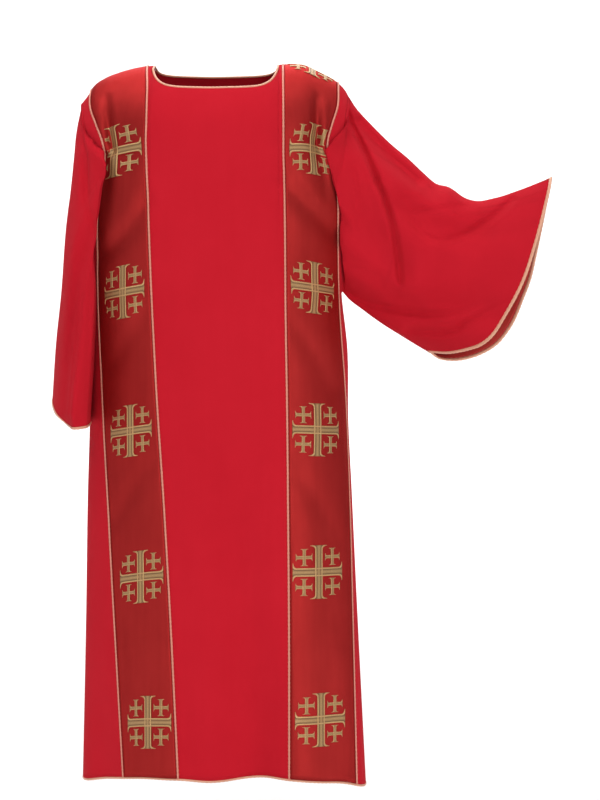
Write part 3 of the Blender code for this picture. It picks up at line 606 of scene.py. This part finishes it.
def layOnBand(ruler, a, b, h):  # the point at a across, b along and h above a band
    row = np.interp(b, ruler["along"], np.arange(len(ruler["along"])))
    low = min(int(row), len(ruler["along"]) - 2)
    part = row - low
    where, normal = np.zeros(3), np.zeros(3)
    for r, weight in ((low, 1 - part), (low + 1, part)):
        limits = ruler["across"][r]
        column = np.interp(a, limits, np.arange(len(limits)))
        c = min(int(column), len(limits) - 2)
        f = column - c
        where += weight * ((1 - f) * ruler["points"][r, c] + f * ruler["points"][r, c + 1])
        normal += weight * ((1 - f) * ruler["outward"][r, c] + f * ruler["outward"][r, c + 1])
    limits, margin = ruler["across"][low], embroidery["edgeMargin"]
    return where + unit(normal) * h, limits[0] + margin <= a <= limits[-1] - margin


def leaning(ruler, across, along, rise, halfWidth, halfHeight):  # sets a cross upright as seen from the front
    reach, large = embroidery["slopeReach"], embroidery["large"]
    steps = []
    for stepAcross, stepAlong in ((reach, 0), (0, reach)):
        far = layOnBand(ruler, across + stepAcross, along + stepAlong, 0)[0]
        near = layOnBand(ruler, across - stepAcross, along - stepAlong, 0)[0]
        steps.append((far - near)[[0, 2]] / (2 * reach))
    wide, high = halfWidth / large["halfWidth"], halfHeight / large["halfHeight"]
    return np.linalg.solve(np.array(steps).T, np.array([[wide, 0], [rise * wide, high]]))


def crossSpots(ruler, frontSpots, backShift):  # each cross's middle, across and along, and its lean
    points, along = ruler["points"], ruler["along"]
    frontRows = garment["lowerRows"] + garment["upperRows"] + 1
    spots = []
    for x, z, *seen in frontSpots:
        row = int(np.abs(points[:frontRows, ruler["middle"], 2] - z).argmin())
        across = np.interp(x, points[row, :, 0], ruler["across"][row])
        spots.append((across, along[row], leaning(ruler, across, along[row], *seen)))
    b = along[frontRows - 1] + backShift
    while b < along[-1] - embroidery["hemMargin"]:
        spots.append((0.0, b, np.eye(2)))
        b += embroidery["spacing"]
    return spots


def embroider(name, ruler, spots, material):
    sheet = bmesh.new()
    sheet.loops.layers.uv.new("threads")
    # The ridge shade layer carries the painted shade and highlight of the ridges.
    ridgeShadeLayer = sheet.verts.layers.float.new("tone")
    base = garment["seamGap"] + garment["satin"] + embroidery["thread"] + embroidery["offSatin"]
    for across, along, lean in spots:
        row = int(np.interp(along, ruler["along"], np.arange(len(ruler["along"]))))
        for a, b, height, tone in crossParts():
            a, b = lean[0, 0] * a + lean[0, 1] * b, lean[1, 0] * a + lean[1, 1] * b
            points, inside = np.zeros((*a.shape, 3)), np.zeros(a.shape, dtype=bool)
            for at in np.ndindex(a.shape):
                points[at], inside[at] = layOnBand(ruler, across + a[at], along + b[at], base + height[at])
            up = np.broadcast_to(ruler["outward"][row, ruler["middle"]], points.shape)
            placeOf = addGrid(sheet, points, a, b, up)
            for vert, at in placeOf.items():
                vert[ridgeShadeLayer] = tone[at]
            outside = [vert for vert, at in placeOf.items() if not inside[at]]
            bmesh.ops.delete(sheet, geom=outside, context="VERTS")
    return finishMesh(name, sheet, material, embroidery["thread"])


# Finishes. Each shared effect is a node group with named inputs and outputs.
def newGroup(name, inputs, outputs):
    group = bpy.data.node_groups.new(name, "ShaderNodeTree")
    for label, value in inputs.items():
        kind = "NodeSocketVector" if value is None else "NodeSocketFloat"
        socket = group.interface.new_socket(name=label, in_out="INPUT", socket_type=kind)
        if value is not None:
            socket.default_value = value
    for label in outputs:
        group.interface.new_socket(name=label, in_out="OUTPUT", socket_type="NodeSocketFloat")
    return group, group.nodes.new("NodeGroupInput").outputs, group.nodes.new("NodeGroupOutput")


def feed(tree, made, inputs):  # links from other sockets, or plain values
    for label, value in inputs.items():
        if isinstance(value, bpy.types.NodeSocket):
            tree.links.new(value, made.inputs[label])
        else:
            made.inputs[label].default_value = value


def node(tree, kind, inputs=(), **values):
    made = tree.nodes.new(kind)
    for name, value in values.items():
        setattr(made, name, value)
    feed(tree, made, dict(inputs))
    return made


def maths(tree, operation, *values):
    return node(tree, "ShaderNodeMath", dict(enumerate(values)), operation=operation).outputs[0]


def noise(tree, place, scale, detail, **values):
    inputs = {"Vector": place, "Scale": scale, "Detail": detail}
    return node(tree, "ShaderNodeTexNoise", inputs, **values).outputs["Fac"]


def buildWeave():  # crossing threads, from a map in metres
    inputs = {"Threads": None, "Thread width": 0.0006, "Slub": 0.5}
    group, given, put = newGroup("weave", inputs, ["Height", "Shade"])
    turns = maths(group, "DIVIDE", math.pi, given["Thread width"])
    inputs = {0: given["Threads"], "Scale": turns}
    scaled = node(group, "ShaderNodeVectorMath", inputs, operation="SCALE").outputs[0]
    wobble = noise(group, scaled, 0.08, 2, noise_dimensions="2D")
    parts = node(group, "ShaderNodeSeparateXYZ", {0: scaled}).outputs
    shift = maths(group, "MULTIPLY", wobble, given["Slub"])
    across, along = (maths(group, "SINE", maths(group, "ADD", parts[axis], shift)) for axis in "XY")
    height = maths(group, "MULTIPLY_ADD", maths(group, "MULTIPLY", across, along), 0.5, 0.5)
    # The shade is partly random slub tone and partly painted shade: lighter where threads lie on top, darker
    # where they dip.
    shade = maths(group, "MULTIPLY_ADD", wobble, 0.4, maths(group, "MULTIPLY", height, 0.3))
    feed(group, put, {"Height": height, "Shade": shade})
    return group


def buildMottle():  # slow changes of tone, and long streaks of tone that run up and down
    group, given, put = newGroup("mottle", {"Place": None, "Scale": 8.0, "Streak": 0.3}, ["Tone"])
    stretch = node(group, "ShaderNodeMapping", {"Vector": given["Place"], "Scale": (9.0, 9.0, 0.7)}).outputs[0]
    broad, fine = noise(group, given["Place"], given["Scale"], 3), noise(group, stretch, given["Scale"], 4)
    total = maths(group, "ADD", broad, maths(group, "MULTIPLY", fine, given["Streak"]))
    feed(group, put, {"Tone": maths(group, "DIVIDE", total, maths(group, "ADD", 1.0, given["Streak"]))})
    return group


def buildThread():  # fine metal-wrapped threads lying side by side
    inputs = {"Threads": None, "Thread width": 0.0005, "Slant": 0.4}
    group, given, put = newGroup("metalThread", inputs, ["Height", "PaintedGlint"])
    parts = node(group, "ShaderNodeSeparateXYZ", {0: given["Threads"]}).outputs
    slanted = maths(group, "MULTIPLY_ADD", parts["X"], given["Slant"], parts["Y"])
    phase = maths(group, "MULTIPLY", maths(group, "DIVIDE", slanted, given["Thread width"]), math.pi)
    height = maths(group, "ABSOLUTE", maths(group, "SINE", phase))
    # The glint output is fine noise that paints glints onto the gold colour.
    feed(group, put, {"Height": height, "PaintedGlint": noise(group, given["Threads"], 900, 2)})
    return group


weaveGroup, mottleGroup, threadGroup = buildWeave(), buildMottle(), buildThread()


def makeMaterial(name, shaderInputs, build=None, look=None):  # build gives the share of light and the height
    material = bpy.data.materials.new(name)
    material.use_nodes = True
    tree = material.node_tree
    shader = next(n for n in tree.nodes if n.type == "BSDF_PRINCIPLED")
    feed(tree, shader, shaderInputs)
    if build:
        threads = node(tree, "ShaderNodeUVMap", uv_map="threads").outputs[0]
        share, height = build(tree, {"Threads": threads, "Thread width": look["thread"]}, look)
        mix = node(tree, "ShaderNodeMix", {"Factor": share}, data_type="RGBA")
        first, second = (socket for socket in mix.inputs if socket.type == "RGBA")
        first.default_value, second.default_value = (*look["dark"], 1), (*look["light"], 1)
        colour = next(socket for socket in mix.outputs if socket.type == "RGBA")
        bump = node(tree, "ShaderNodeBump", {"Height": height, "Distance": look["bump"], "Strength": 1.0})
        feed(tree, shader, {"Base Color": colour, "Normal": bump.outputs[0]})
    return material


def placed(tree, group, inputs):
    return node(tree, "ShaderNodeGroup", inputs, node_tree=group).outputs


def clothNodes(tree, threads, look):
    spot = node(tree, "ShaderNodeTexCoord").outputs["Object"]
    weave = placed(tree, weaveGroup, {**threads, "Slub": look["slub"]})
    mottle = placed(tree, mottleGroup, {"Place": spot, "Scale": look["mottleScale"], "Streak": look["streak"]})
    slow = maths(tree, "MULTIPLY", mottle["Tone"], 1 - look["weaveShade"])
    tone = maths(tree, "MULTIPLY_ADD", weave["Shade"], look["weaveShade"], slow)
    ranged = node(tree, "ShaderNodeMapRange", {"Value": tone, "From Min": 0.3, "From Max": 0.7})
    return ranged.outputs[0], weave["Height"]


def goldNodes(tree, threads, look):
    thread = placed(tree, threadGroup, {**threads, "Slant": look["slant"]})
    # The share of the light colour is painted light: painted highlight on the thread crests, painted shade
    # between threads, and painted glints from noise.
    share = maths(tree, "MULTIPLY_ADD", thread["Height"], 0.55, maths(tree, "MULTIPLY", thread["PaintedGlint"], 0.6))
    # On the crosses the ridge tone scales it: painted shade in the grooves between ridges, painted highlight on
    # raised ridges and bar edges.
    if look.get("toned"):
        raised = node(tree, "ShaderNodeAttribute", attribute_name="tone").outputs["Fac"]
        share = maths(tree, "MULTIPLY", share, maths(tree, "MULTIPLY_ADD", raised, 0.9, 0.1))
    return share, thread["Height"]


redCloth = makeMaterial("redCloth", {
    "Roughness": 0.92, "Specular IOR Level": 0.1, "Specular Tint": (1.0, 0.5, 0.5, 1), "IOR": 1.45,
    "Metallic": 0.0, "Sheen Weight": 0.03, "Sheen Roughness": 0.5, "Sheen Tint": (1.0, 0.3, 0.3, 1),
}, clothNodes, {
    "dark": (0.535, 0.0105, 0.022), "light": (0.585, 0.0135, 0.027), "thread": 0.0007, "slub": 3.0,
    "mottleScale": 9.0, "streak": 0.4, "weaveShade": 0.35, "bump": 0.00025,
})
satinShine = {"Roughness": 0.42, "Specular Tint": (1.0, 0.3, 0.3, 1), "IOR": 1.5}
satinWeave = {"thread": 0.00035, "slub": 2.0, "mottleScale": 11.0, "weaveShade": 0.25, "bump": 0.00008}
darkSatin = makeMaterial("darkSatin", {**satinShine, "Specular IOR Level": 0.15, "Metallic": 0.7}, clothNodes, {
    **satinWeave, "dark": (0.33, 0.0175, 0.017), "light": (0.42, 0.025, 0.024), "streak": 0.8,
})
# The facing satin is painted lighter than the band satin: painted light inside the cuff, where it lies in shade.
facingSatin = makeMaterial("facingSatin", {
    **satinShine, "Specular IOR Level": 0.5, "Metallic": 0.0,
    "Sheen Weight": 0.05, "Sheen Roughness": 0.35, "Sheen Tint": (1.0, 0.25, 0.22, 1),
}, clothNodes, {**satinWeave, "dark": (0.36, 0.026, 0.022), "light": (0.46, 0.036, 0.03), "streak": 0.6})
# The cords' dark and light colours are shaded and lit gold: painted shade and painted highlight, mixed along the
# threads by goldNodes.
cordShine = {"Metallic": 0.3, "Roughness": 0.42}
goldCord, edgeGold = (
    makeMaterial(name, cordShine, goldNodes, {
        "dark": dark, "light": light, "thread": 0.0006, "slant": 0.8, "bump": 0.00012,
    })
    for name, dark, light in (
        ("goldCord", (0.48, 0.125, 0.085), (0.84, 0.36, 0.26)),
        ("edgeGold", (0.52, 0.2, 0.12), (0.88, 0.48, 0.32)),
    )
)
# The crosses' dark and light colours are shaded and lit gold: the near-black dark is painted shade, the light is
# painted highlight.
goldThread = makeMaterial("goldThread", {"Metallic": 0.55, "Roughness": 0.34}, goldNodes, {
    "dark": (0.1, 0.04, 0.016), "light": (0.84, 0.53, 0.23), "thread": 0.001, "slant": 0.5, "bump": 0.00015,
    "toned": True,
})
print("finishes ready")


# The body: two panels, and the bands that run over the shoulders.
front, back = makePanel(-1), makePanel(1)
print("panels worked out")
frontPanel = place(surfacePiece("frontPanel", *front, redCloth, garment["cloth"]), "front", "red_cloth")
backPanel = place(surfacePiece("backPanel", *back, redCloth, garment["cloth"]), "back", "red_cloth")
print("front and back made")

bands, rulers = {}, {}
for name, stretch in (("right", 2), ("left", 6)):
    points, outward = overShoulder(front, back, firstColumn[stretch], firstColumn[stretch + 1])
    for edge, neighbour in ((0, 1), (-1, -2)):
        points[:, edge] += unit(points[:, neighbour] - points[:, edge]) * garment["bandInset"]
    rulers[name] = bandRuler(points, outward)
    top = points + outward * (garment["seamGap"] + garment["satin"])
    piece = surfacePiece(f"band_{name}_satin", top, outward, darkSatin, garment["satin"])
    bands[name] = place(piece, f"band_{name}", "red_satin")
print("satin bands made")

cordTwist = {"step": 0.0013, "pitch": 0.0075, "plies": 2, "relief": 0.1, "around": 12}  # shared by all cords
bandCord = {**cordTwist, "relief": 0.16, "around": 10, "width": 0.0037, "height": 0.0024, "lift": 0.0012}
lanes = {"right_outer": 1, "right_inner": 3, "left_inner": 5, "left_outer": 7}
for name, stretch in lanes.items():
    first = firstColumn[stretch]
    line, normal = (part.mean(axis=1) for part in overShoulder(front, back, first, first + 1))
    line = line + unit(normal) * bandCord["lift"]
    piece = twistedCord(f"cord_{name}_twist", line, normal, bandCord, goldCord)
    place(piece, f"cord_{name}", "gold_cord")
print("band cords made")

# Front spots as x, z, how far the short bar rises towards the wearer's left, and half of the width and
# height that show from the front.
crossPlaces = {
    "right": {"backShift": 0.062, "front": (
        (-0.172, -0.164, 0.22, 0.0406, 0.0463), (-0.159, -0.415, 0.18, 0.0371, 0.0476),
        (-0.147, -0.67, 0.17, 0.0386, 0.047), (-0.129, -0.931, 0.17, 0.0403, 0.0478),
        (-0.116, -1.195, 0.12, 0.0403, 0.0483),
    )},
    "left": {"backShift": -0.008, "front": (
        (0.18, -0.159, -0.14, 0.0375, 0.0466), (0.185, -0.409, -0.15, 0.0392, 0.0465),
        (0.19, -0.663, -0.06, 0.042, 0.0475), (0.192, -0.921, -0.02, 0.0438, 0.0479),
        (0.196, -1.181, 0.00, 0.0441, 0.0478),
    )},
}
for name, spots in crossPlaces.items():
    where = crossSpots(rulers[name], spots["front"], spots["backShift"])
    place(embroider(f"crosses_{name}", rulers[name], where, goldThread), None, "gold_cord")
print("crosses embroidered")

# The sleeves, shaped from their outer folds, their seams, the two halves of their cuffs, and rolls that fall
# over the front of the body beside the armholes. A roll's place is a share along the sleeve and down its
# half, and it moves the cloth by dx and dy. The roll edge is where the rolls end over the band, by height.
sleeveCloth = {
    "edgeSoftness": 0.003, "edgeRings": 6, "clearance": 0.005, "clearRings": 8, "ringSpacing": 1.15,
    "foldFade": 2.2, "calmStart": 0.06, "turnOut": 0.0045, "lift": 0.0005, "underLift": 0.0005,
    "sideLift": 0.001, "searchReach": 0.06, "straightBelow": 0.002,
}
hangingSleeve = {
    **sleeveCloth, "column": 0, "rings": 96, "finer": 2, "rollStart": 0.1,
    "flat": (0.7, 0.42), "area": 0.225, "held": "hung",
    "top": places(
        (-240, 0, -66), (-246.2, 0, -91), (-251.8, 0, -117), (-257.6, 0, -172), (-263.4, 0, -227),
        (-271, 2, -283), (-282.7, 4, -420), (-292.4, 6, -504), (-300.5, 8, -613),
    ),
    "seam": places(
        (-229.5, 0, -414), (-233.5, 3, -440), (-236, 4, -500), (-238.5, 2, -580), (-241, 0, -648),
    ),
    "frontCuff": places(
        (-300.5, 8, -613), (-293, -40, -624), (-280.5, -75, -637), (-268, -82, -649), (-257, -112, -655),
        (-244, -146, -657), (-227, -138, -655), (-221, -90, -653), (-227.5, -40, -650), (-241, 0, -648),
    ),
    "backCuff": places(
        (-300.5, 8, -613), (-301, 50, -620), (-290, 90, -630), (-276, 110, -637), (-274, 140, -641),
        (-264, 172, -644), (-246, 178, -647), (-235, 140, -649), (-236, 70, -650), (-241, 0, -648),
    ),
    "frontFolds": folds(
        (-248, -200, -262, -300, -268, -600, 18, 4, 7), (-236, -380, -240, -460, -242, -620, 16, -2, -5),
    ),
    "backFolds": folds((-246, -180, -264, -300, -274, -580, 16, 12, 4)),
    "frontCreases": folds(
        (-234.9, -173.4, -226.7, -240.1, -222.1, -270.8, 7, 4, 7),
        (-220.3, -271.6, -214.9, -289.6, -209.5, -307.6, 6, 7, 3),
        (-243, -170, -256, -360, -264, -630, 20, -8, -42),
        (-248.8, -101.1, -248.9, -146.5, -256.2, -301.8, 9, 3, 2),
        (-214.9, -361.5, -220.3, -446, -222.1, -610.6, 5, 3, 3),
    ),
    "backCreases": folds(
        (-250, -200, -258, -360, -262, -560, 10, 6, 2), (-240, -120, -246, -190, -244, -300, 10, 4, 1),
    ),
    "rolls": table(
        "along down inWidth outWidth downWidth dx dy",
        (0.08, 0.33, 0.07, 0.3, 0.26, 0.056, -0.046), (0.06, 0.13, 0.06, 0.3, 0.09, 0.026, -0.008),
        (0.42, 0.72, 0.26, 0.5, 0.3, 0.026, -0.01),
    ),
    "rollEdge": table(
        "z x",
        (-80, -230), (-105, -221.5), (-120, -213), (-135, -204), (-150, -195), (-162, -188.7), (-177, -186.8),
        (-198, -189.4), (-220, -196), (-249, -200.3), (-271, -203.4), (-286, -206.2), (-322, -206.9),
        (-359, -206.2), (-420, -209), (-495, -213), (-660, -221.5),
        per=1000,
    ),
}
raisedSleeve = {
    **sleeveCloth, "column": -1, "rings": 112, "finer": 3, "rollStart": 0.06,
    "flat": (0.86, 0.45), "area": 0.257, "held": "draped",
    "top": places(
        (248.5, 0, -56), (264, 0, -79), (284.3, 0, -101), (326.7, 0, -143), (359.7, -5, -171),
        (388.9, -10, -199), (410.8, -15, -217), (430, -20, -222), (462.7, -35, -244), (478, -45, -249),
        (512.7, -70, -245), (554.6, -105, -232), (602, -150, -214),
    ),
    "seam": places(
        (237, 0, -414), (248, 0, -427), (273.6, 0, -447), (312.3, -5, -475), (356.5, -10, -502),
        (394, -20, -523),
    ),
    "frontCuff": places(
        (602, -150, -214), (598.5, -163, -230), (590.5, -172, -262), (583.5, -176, -289), (569, -178, -341),
        (552.5, -170, -393), (527.5, -154, -446), (496.5, -128, -496), (483.5, -115, -507), (459, -90, -517),
        (427, -55, -524), (394, -20, -523),
    ),
    "backCuff": places(
        (602, -150, -214), (598.5, -118, -251), (593, -88, -295), (585, -58, -348), (578, -38, -388),
        (567, -18, -424), (543.5, 0, -480), (520.5, 7, -509), (493.5, 12, -526), (436.5, 12, -539),
        (413.5, -3, -536), (394, -20, -523),
    ),
    "frontFolds": folds(
        (262, -125, 300, -210, 339, -380, 24, 18, 12), (250, -90, 330, -155, 400, -225, 20, 8, 10),
        (359, -262, 412, -325, 485, -302, 24, 18, 10), (245, -415, 320, -452, 485, -438, 24, 14, 10),
        (372, -482, 440, -484, 506, -460, 18, 8, 6),
    ),
    "backFolds": folds(
        (260, -110, 330, -260, 440, -400, 26, 16, 12), (250, -200, 300, -350, 400, -450, 26, 14, 12),
        (400, -225, 450, -320, 500, -380, 24, 12, 8),
    ),
    "frontCreases": folds(
        (239.4, -73.7, 275, -151.5, 299.8, -215.2, 6, 13, 20),
        (298.8, -216.7, 330, -264.4, 341.6, -395.6, 5.5, 20, 10),
        (265, -128, 269.5, -171.6, 281.5, -233.3, 8, 6, 2),
        (254.3, -196.4, 257.1, -212.8, 263.5, -294.8, 7, 3, 2),
        (270, -102, 333.1, -182, 371.6, -213, 13, 18, 13),
        (355.9, -269.8, 409.2, -267.1, 473.3, -257.2, 6, 4, 2),
        (353.3, -265.2, 397.8, -386.5, 540, -249.2, 7, 3, 10),
        (239.7, -326.3, 277.3, -379.9, 384.9, -406.8, 36, -16, -8),
        (247.9, -413.7, 276.9, -443.6, 385.9, -455, 7.5, 4, 10),
        (384.8, -454.9, 423.6, -460.8, 473.3, -437.2, 7, 10, 2),
        (355, -484.3, 433, -495.7, 453, -476.2, 6.5, 3, 8),
        (450.2, -475.7, 478.8, -458.3, 529.3, -431.8, 6.5, 8, 2),
    ),
    "backCreases": folds(
        (262, -120, 300, -240, 360, -400, 10, 9, 4), (400, -230, 440, -310, 520, -340, 10, 7, 4),
        (270, -300, 330, -400, 420, -470, 12, 6, 3),
    ),
    "rolls": table(
        "along down inWidth outWidth downWidth dx dy",
        (0.06, 0.27, 0.06, 0.32, 0.18, -0.062, -0.034), (0.06, 0.11, 0.06, 0.3, 0.08, -0.026, -0.006),
        (0.06, 0.45, 0.06, 0.3, 0.13, -0.034, -0.01), (0.06, 0.72, 0.06, 0.24, 0.22, -0.036, -0.006),
    ),
    "rollEdge": table(
        "z x",
        (-70, 242), (-104, 235), (-118, 229), (-133, 217), (-145, 208), (-156, 204.6), (-173, 208.5),
        (-198, 215.8), (-220, 220), (-240, 225.5), (-262, 228), (-420, 229.5),
        per=1000,
    ),
}
cuffCords = {
    "right": {**cordTwist, "width": 0.004, "height": 0.005, "reach": 0.0024},
    "left": {
        **cordTwist, "step": 0.0015, "pitch": 0.009, "relief": 0.09,
        "width": 0.0042, "height": 0.0062, "reach": 0.0028,
    },
}
facingStrip = {"width": 0.022, "gap": 0.0005, "rows": 6}


def cordAlongEdge(name, points, inside, normal, shape):  # a cord just past a closed edge
    away = awayFromCloth(points, normal)
    away *= np.sign(((points - inside) * away).sum(axis=1))[:, None]
    middle = points - normal * garment["cloth"] / 2 + away * shape["reach"]
    return place(twistedCord(f"{name}_twist", middle, away, shape, edgeGold, loop=True), name, "gold_cord")


for name, shape in (("right", hangingSleeve), ("left", raisedSleeve)):
    points, outward = makeSleeve(front, back, shape)
    piece = surfacePiece(f"sleeve_{name}_cloth", points, outward, redCloth, garment["cloth"], ring=True)
    place(piece, f"sleeve_{name}", "red_cloth")
    cord = cordAlongEdge(f"cuff_cord_{name}", points[-1], points[-2], outward[-1], cuffCords[name])
    depth = lengths(points[::-1]).mean(axis=1)
    stops = np.interp(np.linspace(0, facingStrip["width"], facingStrip["rows"]), depth, np.arange(len(points)))
    stripOut = between(outward[::-1], stops)
    strip = between(points[::-1], stops) - stripOut * (garment["cloth"] + facingStrip["gap"])
    facing = surfacePiece(f"facing_{name}", strip, stripOut, facingSatin, garment["facing"], ring=True)
    place(facing, f"cuff_facing_{name}", "red_satin")
print("sleeves made")

# The gold bindings at the neckline and the hem.
edgeCord = {**cordTwist, "width": 0.003, "height": 0.004, "reach": 0.002}
neckBinding = {
    **cordTwist, "pitch": 0.007, "width": 0.0036, "height": 0.0042, "reach": 0.0024, "cornerTurn": 0.01,
}
hemLoop = [np.concatenate([front[i][0], back[i][-1][-2:0:-1]]) for i in (0, 1)]
aboveHem = np.concatenate([front[0][1], back[0][-2][-2:0:-1]])
hemCord = cordAlongEdge("hem_cord", hemLoop[0], aboveHem, hemLoop[1], edgeCord)
a, b = neckColumns
neckLoop = [np.concatenate([front[i][-1][a : b + 1], back[i][0][b - 1 : a : -1]]) for i in (0, 1)]
belowNeck = np.concatenate([front[0][-2][a : b + 1], back[0][1][b - 1 : a : -1]])
belowNeck[[0, b - a], 0] += (-neckBinding["cornerTurn"], neckBinding["cornerTurn"])
neckCord = cordAlongEdge("neck_cord", neckLoop[0], belowNeck, neckLoop[1], neckBinding)
print("bindings made")

# Studio: a pale floor that curves up behind, soft lights and the camera.
studio = {
    "floorHeight": -1.48, "floorLook": {"Base Color": (0.9, 0.9, 0.9, 1), "Roughness": 0.85},
    "floorHalf": 9.0, "curveRadius": 1.5, "curveSteps": 24, "wallRise": 6.0, "world": 0.34,
    "lights": (
        ("keyLight", (0.8, -5.0, 0.1), (0.1, 0.0, -0.7), 1.6, 82.0),
        ("sideLight", (4.4, -3.0, -0.2), (0.1, 0.0, -0.7), 1.6, 18.0),
        ("otherSideLight", (-3.8, -3.2, -0.4), (0.0, 0.0, -0.7), 1.8, 11.0),
        ("topLight", (-0.45, -1.0, 2.9), (0.1, 0.0, -0.2), 2.6, 44.0),
        ("rightShoulderLight", (-1.8, -0.1, 2.3), (-0.17, -0.05, -0.07), 1.7, 24.0),
        ("leftShoulderLight", (1.4, -0.4, 2.4), (0.17, -0.05, -0.07), 1.7, 19.0),
        ("lowLight", (-0.4, -3.0, -2.2), (0.2, 0.0, -0.5), 1.6, 22.0),
        ("floorLight", (0.2, 5.2, 4.6), (0.2, 5.2, -1.5), 6.0, 390.0),
        ("backdropLight", (0.2, 6.6, 3.4), (0.2, 10.5, 0.0), 4.0, 175.0),
    ),
    "cameraPlace": (0.159, -4.2, -0.43), "cameraTilt": 2.522, "focalPixels": 2270, "longSidePixels": 800,
    "sensor": 36,
}


def makeBackdrop():
    half, radius, floor = studio["floorHalf"], studio["curveRadius"], studio["floorHeight"]
    turn = np.linspace(0, math.pi / 2, studio["curveSteps"] + 1)
    y = np.concatenate([[-half], half + radius * np.sin(turn), [half + radius]])
    z = np.concatenate([[floor], floor + radius * (1 - np.cos(turn)), [floor + radius + studio["wallRise"]]])
    points = np.array([np.stack([np.full_like(y, x), y, z], axis=1) for x in (-half, half)]).swapaxes(0, 1)
    material = makeMaterial("paleStudio", studio["floorLook"])
    return surfacePiece("studioFloor", points, np.broadcast_to((0.0, -1.0, 1.0), points.shape), material)


def addToScene(name, data, where, turn):
    made = bpy.data.objects.new(name, data)
    made.location, made.rotation_euler = where, turn
    bpy.context.scene.collection.objects.link(made)
    return made


makeBackdrop()
for name, where, target, size, power in studio["lights"]:
    data = bpy.data.lights.new(name, "AREA")
    data.shape, data.size, data.energy = "SQUARE", size, power
    addToScene(name, data, where, (Vector(target) - Vector(where)).to_track_quat("-Z", "Y").to_euler())
world = bpy.data.worlds.new("studioAir")
world.use_nodes = True
feed(world.node_tree, world.node_tree.nodes["Background"], {"Color": (1, 1, 1, 1), "Strength": studio["world"]})
bpy.context.scene.world = world

lens = bpy.data.cameras.new("camera")
lens.sensor_width = studio["sensor"]
lens.lens = studio["focalPixels"] / studio["longSidePixels"] * studio["sensor"]
tilt = (math.radians(90 - studio["cameraTilt"]), 0, 0)
bpy.context.scene.camera = addToScene("camera", lens, studio["cameraPlace"], tilt)
bpy.context.scene.view_settings.view_transform = "Standard"  # plain studio colours
print("studio ready")

bpy.context.view_layer.update()
